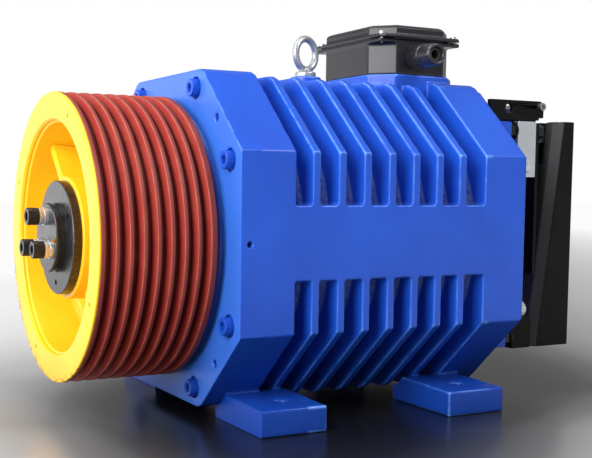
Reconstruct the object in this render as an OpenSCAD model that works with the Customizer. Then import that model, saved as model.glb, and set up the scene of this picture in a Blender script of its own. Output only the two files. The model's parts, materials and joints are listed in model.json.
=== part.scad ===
// Gearless elevator traction machine: grooved rope sheave, ribbed octagonal
// motor housing, twin-arm drum brake behind it. Units are millimetres.
// X runs along the shaft (sheave at -X, brake at +X), Z is up and the origin
// is the centre of the four foot holes on the plane the feet stand on.

/* [Shaft and sheave] */
// Height of the shaft axis above the feet
shaft_height = 248; // [246:1:254]
// Outside diameter of the rope sheave
sheave_diameter = 400; // [396:1:404]
// Width of the rope sheave
sheave_width = 160; // [158:1:162]
// Number of rope grooves
groove_count = 8; // [6:1:8]
// Distance from one rope groove to the next
groove_pitch = 18.5; // [18:0.1:19]
// Width of a groove at its mouth
groove_mouth = 12.8; // [12:0.1:13.4]
// Depth of a groove without its undercut
groove_depth = 9.4; // [8:0.1:10]
// Width of the undercut at the bottom of a groove
undercut_width = 4.6; // [4:0.1:5]
// Radial thickness of the grooved rim
rim_thickness = 26; // [24:0.5:27]
// Radius of the opening in the front of the sheave
dish_radius = 164; // [162:0.5:165]
// Depth of the sheave's dish, from its front to the web
dish_depth = 77; // [72:1:80]
// Thickness of the sheave's web
web_thickness = 18; // [16:1:20]
// Number of ribs on the sheave's web
spoke_count = 2; // [4:1:6]
// Thickness of a rib on the sheave's web
spoke_thickness = 14; // [12:1:16]
// Radius of the sheave's hub
sheave_hub_radius = 85; // [83:0.5:87]
// Diameter of the shaft in the sheave
sheave_seat_diameter = 90; // [88:0.5:92]
// Thickness of the yellow flange in front of the grooved rim
front_flange = 2.5; // [2:0.1:3]
// Gap between the sheave and the front shield
sheave_gap = 14; // [13:0.5:16]

/* [Sheave clamp] */
// Radius of the clamp disc
disc_radius = 79; // [76:0.5:81]
// Thickness of the clamp disc
disc_thickness = 12.5; // [12:0.5:14]
// How far the hub face lies behind the sheave's front
hub_recess = 19.5; // [18:0.5:21]
// Radius of the end plate
end_plate_radius = 48; // [46:0.5:50]
// Thickness of the end plate
end_plate_thickness = 13.5; // [12:0.5:15]
// Pitch radius of the three clamp screws
clamp_screw_circle = 29.5; // [28:0.5:31]
// Length of the washer stack under a clamp screw
washer_stack = 12; // [9:0.5:12]

/* [Housing] */
// Half the width of the octagon
half_width = 236.5; // [235:0.5:239]
// Half the height of the octagon
half_height = 231; // [229:0.5:233]
// Half the length of the octagon's upright sides
side_half = 119; // [117:0.5:121]
// Half the length of the octagon's top and bottom
flat_half = 117; // [115:0.5:119]
// Front face of the housing along the shaft
housing_front = -206.5; // [-208:0.5:-205]
// Rear face of the housing along the shaft
housing_rear = 226.5; // [225:0.5:228]
// Length of the housing's plain front section
front_section = 51; // [49:0.5:53]
// Length of the housing's plain rear section
rear_section = 71.5; // [70:0.5:73]
// Number of cooling ribs
rib_count = 7; // [5:1:7]
// Thickness of a cooling rib
rib_thickness = 12.3; // [10:0.1:14]
// Distance from one cooling rib to the next
rib_pitch = 39.8; // [39:0.1:40.2]
// Gap before the first cooling rib
rib_lead = 25; // [23:0.5:27]
// How far the ribs' tops lie below the end sections
rib_drop = 4.7; // [3:0.1:6]
// Half the height of the plain band along each side
band_half = 49.7; // [48:0.1:52]
// Radius of the barrel behind the ribs
barrel_radius = 216; // [214:0.5:218]
// Radius of the bore that holds the stator
bore_radius = 200; // [199:0.5:201]

/* [Feet] */
// Distance between the foot holes along the shaft
foot_pitch_x = 299; // [297:0.5:301]
// Distance between the foot holes across the shaft
foot_pitch_y = 380; // [378:1:384]
// Diameter of a foot hole
foot_hole = 22; // [20:0.5:24]
// Thickness of a foot
foot_thickness = 34.7; // [33:0.1:36]
// Length of a foot along the shaft
foot_length = 98; // [96:0.5:98]
// Distance from the shaft's plane to a foot's outer end
foot_reach = 245; // [244:0.5:248]
// Distance from the shaft's plane to a foot's inner end
foot_inner = 110; // [106:1:112]

/* [Shields and bearings] */
// Thickness of the front shield
front_shield_thickness = 28.5; // [27:0.5:30]
// Thickness of the rear shield
rear_shield_thickness = 14.5; // [14:0.5:16]
// Size of a shield screw's thread
shield_screw = 16; // [14:0.5:16]
// Shield screws at the sides: distance in from the upright sides
side_screw_inset = 33; // [32:0.5:34]
// Shield screws at the sides: distance below the sides' upper ends
side_screw_drop = 12; // [10:0.5:14]
// Shield screws at top and bottom: distance in from the flats' ends
top_screw_drop = 19.5; // [18:0.5:21]
// Shield screws at top and bottom: distance below the flats
top_screw_inset = 25; // [24:0.5:26]
// Bore of the front bearing
front_bearing_bore = 100; // [99:0.5:101]
// Outside diameter of the front bearing
front_bearing_od = 180; // [178:0.5:182]
// Width of the front bearing
front_bearing_width = 34; // [32:0.5:36]
// Bore of the rear bearing
rear_bearing_bore = 90; // [89:0.5:91]
// Outside diameter of the rear bearing
rear_bearing_od = 160; // [158:0.5:162]
// Width of the rear bearing
rear_bearing_width = 30; // [28:0.5:31]

/* [Motor] */
// Inside radius of the stator core
stator_bore = 150; // [149:0.5:151]
// Length of the stator core
stator_length = 210; // [200:1:216]
// Number of stator slots
slot_count = 24; // [18:6:24]
// Radial air gap between magnets and stator
air_gap = 2.2; // [1.6:0.1:3]
// Number of magnets
magnet_count = 20; // [16:2:24]
// Thickness of a magnet
magnet_thickness = 8.8; // [7:0.1:10]

/* [Terminal box] */
// Front face of the terminal box along the shaft
box_front = 70.7; // [68:0.1:73]
// Length of the terminal box along the shaft
box_length = 148; // [146:1:150]
// Half the width of the terminal box
box_half = 92; // [90:0.5:94]
// Size of the terminal box's corner chamfers
box_chamfer = 31; // [28:0.5:33]
// Height of the box's base
box_height = 52.7; // [50:0.1:55]
// Height of the lid above its flange
lid_height = 15.4; // [12:0.1:18]
// Height of the pad that carries the terminal box
pad_height = 12.8; // [11:0.1:14]
// Bore of the cable gland
gland_bore = 18; // [16:0.5:19]

/* [Eye bolt] */
// Outside radius of the eye
eye_radius = 28.5; // [27:0.5:30]
// Thickness of the eye's ring
eye_wire = 10.5; // [9:0.5:12]

/* [Brake] */
// Half the width over the brake arms
brake_half = 140; // [139:0.5:142]
// Half the height of the brake arms
arm_half_height = 180; // [178:0.5:182]
// Radius of the brake drum
drum_radius = 104; // [102:0.5:104]
// Width of the brake drum
drum_width = 60; // [56:1:61]
// Thickness of a brake lining
lining_thickness = 7.7; // [6.5:0.1:8]
// Gap between lining and drum while the brake is held open
lining_gap = 0.3; // [0.2:0.05:0.5]
// Thickness of the brake's carrier plate
carrier_thickness = 6; // [5:0.5:6]
// Front of the spacer blocks along the shaft
spacer_front = 300; // [298:0.5:301]
// Length of the spacer blocks
spacer_length = 37; // [36.5:0.5:38]
// Diameter of a brake arm's pivot pin
pivot_pin = 20; // [18:0.5:22]

/* [Hidden] */
$fn = 96;
running = 0.05;    // radial clearance where one piece turns or slides in another
locating = 0.03;   // radial clearance of a register or a seat
screw_fit = 0.5;   // radial clearance of a screw in its through hole
eps = 1;           // overrun of a cut past a face

sheave_radius = sheave_diameter / 2;
side_screw_y = half_width - side_screw_inset;
side_screw_z = side_half - side_screw_drop;
top_screw_y = flat_half - top_screw_drop;
top_screw_z = half_height - top_screw_inset;
face_radius = sheave_radius - 14;
shield_front = housing_front - front_shield_thickness;
sheave_back = shield_front - sheave_gap;
sheave_front = sheave_back - sheave_width;
seat_r = sheave_seat_diameter / 2;
hub_face = sheave_front + hub_recess;
hub_back = sheave_back - 10;
disc_front = hub_face - disc_thickness;
plate_front = disc_front - end_plate_thickness;
shaft_front = hub_face + 1.5;
m16 = 8;
shield_back = housing_rear + rear_shield_thickness;
rib_start = housing_front + front_section + rib_lead;
foot_offset = 8;
fb_r = front_bearing_bore / 2;
fb_or = front_bearing_od / 2;
rb_r = rear_bearing_bore / 2;
rb_or = rear_bearing_od / 2;
raised_face = 6;
cover_thickness = 6;
cover_radius = 118;
cover_screw_circle = 105;
fb_front = shield_front + 19;
fb_back = fb_front + front_bearing_width;
rb_back = shield_back - 15;
rb_front = rb_back - rear_bearing_width;
rotor_r = stator_bore - air_gap - magnet_thickness;
stator_half = stator_length / 2;
pad_top = half_height + pad_height;
box_back = box_front + box_length;
box_mid = (box_front + box_back) / 2;
lid_base = pad_top + box_height + 1.5;
flange_thickness = 5;
flange_over = 6;
gland_x = box_mid - 7.5;
gland_z = pad_top + 26.9;
eye_x = -4;
eye_seat = half_height + 10;
carrier_front = spacer_front + spacer_length;
carrier_back = carrier_front + carrier_thickness;
drum_front = carrier_back + 7;
drum_back = drum_front + drum_width;
arm_back = drum_back + 6.5;
arm_slant = atan(46 / 360);
arm_chamfer = 12.5;
arm_inner = drum_radius + lining_gap + lining_thickness;
pivot_y = 98;
pivot_z = -158;
rod_x = arm_back - 15;
rod_z = 168;
plunger_z = 133;
lug_y = 126;
lug_z = 163;
lug_back = spacer_front - 14;
plug_y = -41.5;
plug_z = -2;
release_x = carrier_front + 4.5;
release_z = 201;
carrier_low = 62;
carrier_high = release_z - 11;
ear_outer = 98;
ear_inner = 84;
block_low = 91;
block_inner = brake_half - 39;
bracket_low = arm_half_height;
bracket_inner = pivot_y - 18;
plunger_radius = 9;
yoke_half = 96;
finger_out = arm_inner - 0.5;
finger_in = finger_out - 7;
finger_back = carrier_back + 15;

blue = [0.13, 0.27, 0.72];
black = [0.12, 0.12, 0.13];
steel = [0.72, 0.73, 0.75];
dark_steel = [0.26, 0.26, 0.28];
zinc = [0.83, 0.84, 0.86];
iron = [0.45, 0.46, 0.48];
copper = [0.72, 0.42, 0.2];
brass = [0.8, 0.64, 0.3];
rubber = [0.06, 0.06, 0.06];

// cylinder along X at height 0 of the shaft's frame
module rod_x_dir(x0, x1, r, y = 0, z = 0, fn = $fn)
  translate([x0, y, z]) rotate([0, 90, 0]) cylinder(h = x1 - x0, r = r, $fn = fn);

// cylinder along Y
module rod_y_dir(y0, y1, r, x = 0, z = 0, fn = $fn)
  translate([x, y0, z]) rotate([-90, 0, 0]) cylinder(h = y1 - y0, r = r, $fn = fn);

// revolve a profile of [radius, x] points about the shaft
module revolve_x() rotate([0, 90, 0]) rotate_extrude() children();

// extrude a profile of [y, z] points along the shaft
module along_x(x0, x1) translate([x0, 0, 0]) rotate([90, 0, 90]) linear_extrude(x1 - x0) children();

// plain box between two corners
module span(a, b) translate(a) cube(b - a);

module tube_x(x0, x1, r_out, r_in) difference() {
  rod_x_dir(x0, x1, r_out);
  rod_x_dir(x0 - eps, x1 + eps, r_in);
}

module at_shaft() translate([0, 0, shaft_height]) children();

module octagon(hw, hh, side, flat, ease = 7)
  polygon([
    [hw, side], [flat + ease * 0.8, hh - ease * 0.75], [flat - ease, hh],
    [-flat + ease, hh], [-flat - ease * 0.8, hh - ease * 0.75], [-hw, side],
    [-hw, -side], [-flat - ease * 0.8, -hh + ease * 0.75], [-flat + ease, -hh],
    [flat - ease, -hh], [flat + ease * 0.8, -hh + ease * 0.75], [hw, -side]
  ]);

module each_shield_screw()
  for (sy = [-1, 1], sz = [-1, 1]) {
    translate([0, sy * side_screw_y, sz * side_screw_z]) children();
    translate([0, sy * top_screw_y, sz * top_screw_z]) children();
  }

module each_side() { children(); mirror([0, 1, 0]) children(); }

module mirror_z() { children(); mirror([0, 0, 1]) children(); }

module each_corner() each_side() mirror_z() children();

// socket head cap screw along +X, head towards -X, seat at x = 0
module cap_screw(size, reach)
  difference() {
    union() {
      rod_x_dir(-size, 0, size * 0.75);
      rod_x_dir(0, reach, size / 2);
    }
    rod_x_dir(-size - eps, -size * 0.5, size * 0.43, fn = 6);
  }

// ---------------------------------------------------------------- housing

module foot(x_hole, shift) {
  x0 = x_hole - foot_length / 2 + shift;
  leg_top = shaft_height - half_height + 20;
  translate([0, 0, -shaft_height]) difference() {
    union() {
      span([x0, -foot_reach, 0], [x0 + foot_length, -foot_inner, foot_thickness]);
      span([x0, -foot_inner - 22, 0], [x0 + foot_length, -foot_inner, leg_top]);
    }
    translate([x_hole, -foot_pitch_y / 2, -eps]) cylinder(h = foot_thickness + 2 * eps, r = foot_hole / 2);
    translate([x_hole, -foot_pitch_y / 2, foot_thickness - 1.5]) cylinder(h = 3, r = foot_hole / 2 + 7);
  }
}

module feet() color(blue) at_shaft() difference() {
  each_side() {
    foot(-foot_pitch_x / 2, -foot_offset);
    foot(foot_pitch_x / 2, -foot_offset);
  }
  along_x(housing_front - eps, housing_rear + eps)
    octagon(half_width, half_height, side_half, flat_half);
}

module pad_outline(grow) {
  c = box_chamfer;
  polygon([
    [box_front - grow + c, -box_half - grow], [box_back + grow - c, -box_half - grow],
    [box_back + grow, -box_half - grow + c], [box_back + grow, box_half + grow - c],
    [box_back + grow - c, box_half + grow], [box_front - grow + c, box_half + grow],
    [box_front - grow, box_half + grow - c], [box_front - grow, -box_half - grow + c]
  ]);
}

module housing() color(blue) at_shaft() difference() {
  union() {
    along_x(housing_front, housing_front + front_section)
      octagon(half_width, half_height, side_half, flat_half);
    along_x(housing_rear - rear_section, housing_rear)
      octagon(half_width, half_height, side_half, flat_half);
    rod_x_dir(housing_front + eps, housing_rear - eps, barrel_radius);
    span([housing_front + eps, -half_width, -band_half], [housing_rear - eps, half_width, band_half]);
    for (i = [0 : rib_count - 1])
      along_x(rib_start + i * rib_pitch, rib_start + i * rib_pitch + rib_thickness)
        octagon(half_width, half_height - rib_drop, side_half, flat_half);
    translate([0, 0, bore_radius + 5])
      linear_extrude(pad_top - bore_radius - 5) pad_outline(5);
    translate([eye_x, 0, bore_radius + 5]) cylinder(h = eye_seat - bore_radius - 5, r = 24);
  }
  rod_x_dir(housing_front - eps, housing_rear + eps, bore_radius);
  each_shield_screw() {
    rod_x_dir(housing_front - eps, housing_front + 40, shield_screw / 2 + locating);
    rod_x_dir(housing_rear - 40, housing_rear + eps, shield_screw / 2 + locating);
  }
  // thread for the eye bolt and the way down for the motor leads
  translate([eye_x, 0, eye_seat - 27]) cylinder(h = 28, r = m16 + locating);
  translate([box_front + 30, 0, bore_radius - 10]) cylinder(h = pad_top, r = 15);
}

// ---------------------------------------------------------------- shields

module front_shield() color(blue) at_shaft() difference() {
  union() {
    along_x(shield_front, housing_front)
      octagon(half_width, half_height, side_half, flat_half);
    rod_x_dir(shield_front - raised_face, shield_front + eps, face_radius);
    tube_x(housing_front - eps, housing_front + 8, bore_radius - locating, bore_radius - 14);
    rod_x_dir(housing_front - eps, fb_back + 10, fb_or + 22);
    for (a = [0 : 45 : 315]) rotate([a, 0, 0])
      span([housing_front - eps, -7, fb_or + 10], [housing_front + 14, 7, bore_radius - 10]);
  }
  rod_x_dir(shield_front - raised_face - eps, fb_back, fb_or + locating);
  rod_x_dir(fb_back - eps, fb_back + 11, fb_or - 10);
  each_shield_screw() {
    rod_x_dir(shield_front - eps, housing_front + eps, shield_screw / 2 + screw_fit);
    rod_x_dir(shield_front - eps, shield_front + 6, shield_screw * 0.75 + 3);
  }
  for (a = [45 : 90 : 315]) rotate([a, 0, 0]) {
    rod_x_dir(shield_front - eps, shield_front + 22, 5, z = 230);
    rod_x_dir(shield_front - eps, shield_front + 1.5, 6.2, z = 230);
  }
  each_side() rod_y_dir(-half_width - eps, -half_width + 18, 4, x = shield_front + 13.5);
  for (a = [0 : 60 : 300]) rotate([a, 0, 0])
    rod_x_dir(shield_front - raised_face - eps, shield_front + 14, 4 + locating, z = cover_screw_circle);
}

module front_cover() color(blue) at_shaft() difference() {
  x1 = shield_front - raised_face;
  union() {
    rod_x_dir(x1 - cover_thickness, x1, cover_radius);
    rod_x_dir(x1 - eps, fb_front, fb_or - locating);
  }
  rod_x_dir(x1 - cover_thickness - eps, x1 + 8, fb_r + 15);
  rod_x_dir(x1, fb_front + eps, fb_r + 12);
  for (a = [0 : 60 : 300]) rotate([a, 0, 0]) {
    rod_x_dir(x1 - cover_thickness - eps, x1 + 2, 4 + screw_fit, z = cover_screw_circle);
    rod_x_dir(x1 - cover_thickness - eps, x1 - 3, 7, z = cover_screw_circle);
  }
}

module lip_seal(x, way, r) revolve_x() polygon([
  [r + running, x - way * 4.5], [r + 4, x - way * 5.5], [r + 15 - locating, x - way * 5.5],
  [r + 15 - locating, x + way * 6], [r + 11, x + way * 6], [r + 9, x - way * 2],
  [r + 4, x], [r + running, x - way * 2]
]);

module shaft_seals() color(rubber) at_shaft() {
  lip_seal(shield_front - raised_face, 1, fb_r);
  lip_seal(shield_back, -1, rb_r);
}

module cover_screws() color(dark_steel) at_shaft()
  for (a = [0 : 60 : 300]) rotate([a, 0, 0]) {
    translate([shield_front - raised_face - 3, 0, cover_screw_circle])
      intersection() { cap_screw(8, 20); rod_x_dir(-4.5, 30, 9); }
    translate([shield_back + 3, 0, rb_or + 11]) mirror([1, 0, 0])
      intersection() { cap_screw(8, 15); rod_x_dir(-4.5, 30, 9); }
  }

module rear_shield() color(blue) at_shaft() difference() {
  union() {
    along_x(housing_rear, shield_back)
      octagon(half_width - 12, half_height - 6, side_half, flat_half - 4);
    tube_x(housing_rear - 8, housing_rear + eps, bore_radius - locating, bore_radius - 14);
    rod_x_dir(rb_front - 10, housing_rear + eps, rb_or + 22);
    for (a = [0 : 45 : 315]) rotate([a, 0, 0])
      span([housing_rear - 14, -7, rb_or + 10], [housing_rear + eps, 7, bore_radius - 10]);
    each_corner() span([shield_back - eps, -lug_y - 14, lug_z - 15], [lug_back, -lug_y + 14, lug_z + 14]);
  }
  rod_x_dir(rb_front, shield_back + eps, rb_or + locating);
  rod_x_dir(rb_front - 11, rb_front + eps, rb_or - 10);
  each_shield_screw()
    rod_x_dir(housing_rear - eps, shield_back + eps, shield_screw / 2 + screw_fit);
  each_corner() rod_x_dir(shield_back + 5, lug_back + eps, m16 + locating, y = -lug_y, z = lug_z);
  for (a = [0 : 60 : 300]) rotate([a, 0, 0])
    rod_x_dir(shield_back - 14, shield_back + eps, 4 + locating, z = rb_or + 11);
}

module rear_cover() color(blue) at_shaft() difference() {
  x0 = shield_back;
  union() {
    rod_x_dir(x0, x0 + cover_thickness, rb_or + 19);
    rod_x_dir(rb_back, x0 + eps, rb_or - locating);
  }
  rod_x_dir(x0 - 8, x0 + cover_thickness + eps, rb_r + 15);
  rod_x_dir(rb_back - eps, x0, rb_r + 12);
  for (a = [0 : 60 : 300]) rotate([a, 0, 0]) {
    rod_x_dir(x0 - eps, x0 + cover_thickness + eps, 4 + screw_fit, z = rb_or + 11);
    rod_x_dir(x0 + 3, x0 + cover_thickness + eps, 7, z = rb_or + 11);
  }
}

module front_shield_screws() color(blue) at_shaft()
  each_shield_screw() translate([shield_front + 6, 0, 0]) cap_screw(shield_screw, 50);

module rear_shield_screws() color(zinc) at_shaft()
  each_shield_screw() translate([shield_back, 0, 0]) mirror([1, 0, 0]) cap_screw(shield_screw, 50);

// --------------------------------------------------------------- bearings

module bearing_outer(x0, x1, r_in, r_out) at_shaft() {
  race = r_in + (r_out - r_in) * 0.7;
  difference() {
    tube_x(x0, x1, r_out, race);
  }
}

module bearing_inner(x0, x1, r_in, r_out) at_shaft() {
  low = r_in + (r_out - r_in) * 0.3;
  race = r_in + (r_out - r_in) * 0.7;
  roller = (race - low) / 2 - running;
  tube_x(x0, x1, low, r_in + locating);
  for (a = [0 : 24 : 336]) rotate([a, 0, 0])
    rod_x_dir(x0 + 5, x1 - 5, roller, z = low + roller - 0.03, fn = 48);
}

module front_bearing_outer() color(steel) bearing_outer(fb_front, fb_back, fb_r, fb_or);
module front_bearing_inner() color(steel) bearing_inner(fb_front, fb_back, fb_r, fb_or);
module rear_bearing_outer() color(steel) bearing_outer(rb_front, rb_back, rb_r, rb_or);
module rear_bearing_inner() color(steel) bearing_inner(rb_front, rb_back, rb_r, rb_or);

// ------------------------------------------------------------------ motor

module stator_core() color(iron) at_shaft() difference() {
  rod_x_dir(-stator_half, stator_half, bore_radius - locating);
  rod_x_dir(-stator_half - eps, stator_half + eps, stator_bore);
  for (i = [0 : slot_count - 1]) rotate([i * 360 / slot_count, 0, 0]) {
    span([-stator_half - eps, -8, stator_bore + 3], [stator_half + eps, 8, stator_bore + 30]);
    span([-stator_half - eps, -2, stator_bore - 2], [stator_half + eps, 2, stator_bore + 4]);
  }
}

module stator_winding() color(copper) at_shaft() {
  for (s = [-1, 1]) mirror([s < 0 ? 1 : 0, 0, 0])
    revolve_x() polygon([
      [stator_bore + 5, stator_half + 0.2], [stator_bore + 33, stator_half + 0.2],
      [stator_bore + 38, stator_half + 8], [stator_bore + 37, stator_half + 32],
      [stator_bore + 28, stator_half + 40], [stator_bore + 14, stator_half + 40],
      [stator_bore + 6, stator_half + 32]
    ]);
  for (i = [0 : slot_count - 1]) rotate([i * 360 / slot_count, 0, 0])
    span([-stator_half - 2, -7.6, stator_bore + 5.4], [stator_half + 2, 7.6, stator_bore + 29.6]);
}

module rotor_hub() color(dark_steel) at_shaft() difference() {
  union() {
    tube_x(-stator_half + 2, stator_half - 2, rotor_r, rotor_r - 21);
    rod_x_dir(-12, 12, rotor_r - 10);
    rod_x_dir(-60, 60, 82);
    for (a = [30 : 60 : 330]) rotate([a, 0, 0])
      span([-55, -6, 70], [55, 6, rotor_r - 15]);
  }
  rod_x_dir(-stator_half - eps, stator_half + eps, 60 + locating);
  for (a = [0 : 60 : 300]) rotate([a, 0, 0]) rod_x_dir(-13, 13, 14, z = 100);
}

module rotor_magnets() color(steel) at_shaft() difference() {
  tube_x(-stator_half + 6, stator_half - 6, rotor_r + magnet_thickness, rotor_r);
  for (i = [0 : magnet_count - 1]) rotate([i * 360 / magnet_count, 0, 0])
    span([-stator_half, -3.5, rotor_r - 5], [stator_half, 3.5, rotor_r + 20]);
}

module shaft() color(steel) at_shaft() difference() {
  revolve_x() polygon([
    [0, shaft_front], [seat_r - 2, shaft_front], [seat_r, shaft_front + 2],
    [seat_r, hub_back], [fb_r, hub_back], [fb_r, fb_back], [fb_r + 8, fb_back],
    [fb_r + 8, -150], [60, -150], [60, 150], [rb_r + 7, 150], [rb_r + 7, rb_front],
    [rb_r, rb_front], [rb_r, carrier_front - 30], [35, carrier_front - 24],
    [35, drum_back], [32, drum_back + 3], [10, drum_back + 3],
    [10, drum_back + 44], [0, drum_back + 44]
  ]);
  for (a = [0 : 120 : 240]) rotate([a, 0, 0])
    rod_x_dir(shaft_front - eps, shaft_front + 34, m16 + locating, z = clamp_screw_circle);
  span([shaft_front + 8, -12.5, -seat_r - 9], [hub_back - 12, 12.5, -seat_r + 9]);
  span([drum_front + 6, -5, 30], [drum_back - 6, 5, 40]);
}

// ----------------------------------------------------------------- sheave

module sheave() color([0.98, 0.82, 0.06]) at_shaft() difference() {
  x0 = sheave_front;
  ri = sheave_radius - rim_thickness;
  union() {
    revolve_x() polygon([
      [dish_radius, x0], [sheave_radius - 1, x0], [sheave_radius, x0 + 0.8],
      [sheave_radius, x0 + front_flange], [ri, x0 + front_flange],
      [ri, sheave_back], [ri - 22, sheave_back],
      [ri - 26, x0 + dish_depth + web_thickness], [sheave_hub_radius + 4, x0 + dish_depth + web_thickness],
      [sheave_hub_radius - 5, hub_back], [seat_r + locating, hub_back],
      [seat_r + locating, hub_face], [sheave_hub_radius, hub_face],
      [sheave_hub_radius + 3, x0 + dish_depth - 5], [sheave_hub_radius + 8, x0 + dish_depth],
      [dish_radius - 18, x0 + dish_depth], [dish_radius - 11, x0 + dish_depth - 8],
      [dish_radius - 5, x0 + 7], [dish_radius - 2.5, x0 + 7], [dish_radius - 2.5, x0 + 3.5]
    ]);
    for (i = [0 : spoke_count - 1]) rotate([145 - i * 360 / spoke_count, 0, 0])
      translate([0, spoke_thickness / 2, 0]) rotate([90, 0, 0]) linear_extrude(spoke_thickness)
        polygon([
          [x0 + 34, sheave_hub_radius - 4], [x0 + 27, dish_radius - 5],
          [x0 + dish_depth + 3, dish_radius - 8], [x0 + dish_depth + 3, sheave_hub_radius - 4]
        ]);
  }
  for (a = [25 : 90 : 295]) rotate([a, 0, 0])
    rod_x_dir(x0 - eps, x0 + front_flange + eps, 3.4, z = 180);
  span([hub_face - eps, -12.55, -seat_r - 5.2], [hub_back - 12, 12.55, 0]);
}

module groove_rim() color([0.62, 0.13, 0.08]) at_shaft() difference() {
  x0 = sheave_front + front_flange;
  ri = sheave_radius - rim_thickness + locating;
  first = sheave_front + (sheave_width - (groove_count - 1) * groove_pitch) / 2;
  m = groove_mouth / 2;
  u = undercut_width / 2;
  top = sheave_radius;
  tube_x(x0, sheave_back, sheave_radius, ri);
  for (i = [0 : groove_count - 1])
    translate([first + i * groove_pitch, 0, 0]) revolve_x() polygon([
      [top + 4, -m - 2], [top - 0.6, -m - 0.4], [top - 1.2, -m + 0.1],
      [top - groove_depth * 0.72, -m * 0.72], [top - groove_depth, -u],
      [top - groove_depth - 3, -u], [top - groove_depth - 3, u], [top - groove_depth, u],
      [top - groove_depth * 0.72, m * 0.72], [top - 1.2, m - 0.1], [top - 0.6, m + 0.4],
      [top + 4, m + 2]
    ]);
  for (a = [25 : 90 : 295]) rotate([a, 0, 0])
    rod_x_dir(x0 - eps, x0 + 20, 3, z = 180);
}

module clamp_disc() color(dark_steel) at_shaft() difference() {
  revolve_x() polygon([
    [0, disc_front], [disc_radius - 1, disc_front], [disc_radius, disc_front + 1],
    [disc_radius, hub_face], [0, hub_face]
  ]);
  for (a = [0 : 120 : 240]) rotate([a, 0, 0]) {
    rod_x_dir(disc_front - eps, hub_face + eps, m16 + screw_fit, z = clamp_screw_circle);
    rod_x_dir(disc_front - eps, hub_face + eps, 4, z = -62.5);
  }
}

module end_plate() color(dark_steel) at_shaft() difference() {
  r = end_plate_radius;
  revolve_x() polygon([
    [0, plate_front], [r - 1.5, plate_front], [r, plate_front + 1.2],
    [r, plate_front + 4], [r - 2.4, plate_front + 4.6], [r - 2.4, plate_front + 8.4],
    [r, plate_front + 9], [r, disc_front], [0, disc_front]
  ]);
  for (a = [0 : 120 : 240]) rotate([a, 0, 0])
    rod_x_dir(plate_front - eps, disc_front + eps, m16 + screw_fit, z = clamp_screw_circle);
  rod_x_dir(plate_front - eps, plate_front + 6, 3, y = plug_y, z = plug_z);
}

module grease_plug() color(brass) at_shaft() {
  rod_x_dir(plate_front - 2.5, plate_front + 5.8, 3 - locating, y = plug_y, z = plug_z);
  rod_x_dir(plate_front - 4.5, plate_front - 2.4, 2, y = plug_y, z = plug_z);
}

module clamp_screws() color([0.09, 0.09, 0.1]) at_shaft()
  for (a = [0 : 120 : 240]) rotate([a, 0, 0])
    translate([plate_front - washer_stack, 0, clamp_screw_circle]) cap_screw(16, washer_stack + 54);

module clamp_washers() color(zinc) at_shaft()
  for (a = [0 : 120 : 240]) rotate([a, 0, 0]) translate([plate_front - washer_stack, 0, clamp_screw_circle])
    difference() {
      revolve_x() polygon([
        [0, 0], [11.9, 0], [11.9, washer_stack * 0.38], [11, washer_stack * 0.4],
        [11, washer_stack * 0.6], [12.2, washer_stack * 0.62], [12.2, washer_stack], [0, washer_stack]
      ]);
      rod_x_dir(-eps, washer_stack + eps, m16 + 0.3);
    }

module shaft_keys() color(steel) at_shaft() {
  span([shaft_front + 8.2, -12.45, -seat_r - 5], [hub_back - 12.2, 12.45, -seat_r + 8.9]);
  span([drum_front + 6.2, -4.95, 30.1], [drum_back - 6.2, 4.95, 38.2]);
}

// --------------------------------------------------------------- eye bolt

module eye_bolt() color(zinc) translate([eye_x, 0, shaft_height + eye_seat]) {
  zc = 35;
  translate([0, 0, zc]) rotate([90, 0, 19]) rotate_extrude()
    translate([eye_radius - eye_wire / 2, 0]) circle(r = eye_wire / 2, $fn = 48);
  rotate_extrude() polygon([
    [0, 0], [15.5, 0], [16, 1], [16, 6], [15, 7.5], [10.5, 9], [8.5, 11], [7.5, 13.5], [0, 13.5]
  ]);
  translate([0, 0, -25]) cylinder(h = 26, r = m16);
}

// ----------------------------------------------------------- terminal box

module box_outline(inset) {
  c = box_chamfer - inset * 0.586;
  polygon([
    [box_front + inset + c, -box_half + inset], [box_back - inset - c, -box_half + inset],
    [box_back - inset, -box_half + inset + c], [box_back - inset, box_half - inset - c],
    [box_back - inset - c, box_half - inset], [box_front + inset + c, box_half - inset],
    [box_front + inset, box_half - inset - c], [box_front + inset, -box_half + inset + c]
  ]);
}

module each_lid_screw()
  for (x = [box_front + 7, box_back - 7], y = [-box_half + 7, box_half - 7])
    translate([x, y, 0]) children();

module flange_outline(r = 8) {
  x0 = box_front - 1; x1 = box_back + 1; y1 = box_half + flange_over;
  difference() {
    translate([x0, -y1]) square([x1 - x0, 2 * y1]);
    for (sx = [0, 1], sy = [-1, 1])
      translate([sx == 0 ? x0 : x1, sy * y1]) rotate(45) square([2 * r * 0.7, 2 * r * 0.7], center = true);
  }
}

module box_base() color(black) translate([0, 0, shaft_height + pad_top]) difference() {
  union() {
    linear_extrude(box_height) box_outline(0);
    translate([0, 0, box_height - 6]) linear_extrude(6)
      intersection() {
        flange_outline();
        translate([box_front - 5, -box_half]) square([box_length + 10, 2 * box_half]);
      }
  }
  translate([0, 0, 4]) linear_extrude(box_height) box_outline(4);
  translate([box_front + 30, 0, -eps]) cylinder(h = 8, r = 15);
  rod_y_dir(-box_half - eps, -box_half + 6, 12.5 + locating, x = gland_x, z = gland_z - pad_top);
  each_lid_screw() translate([0, 0, box_height - 7]) cylinder(h = 8, r = 2.5 + locating);
}

module box_gasket() color(rubber) translate([0, 0, shaft_height + pad_top + box_height]) difference() {
  linear_extrude(1.5) box_outline(0.6);
  translate([0, 0, -eps]) linear_extrude(4) box_outline(4);
}

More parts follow.
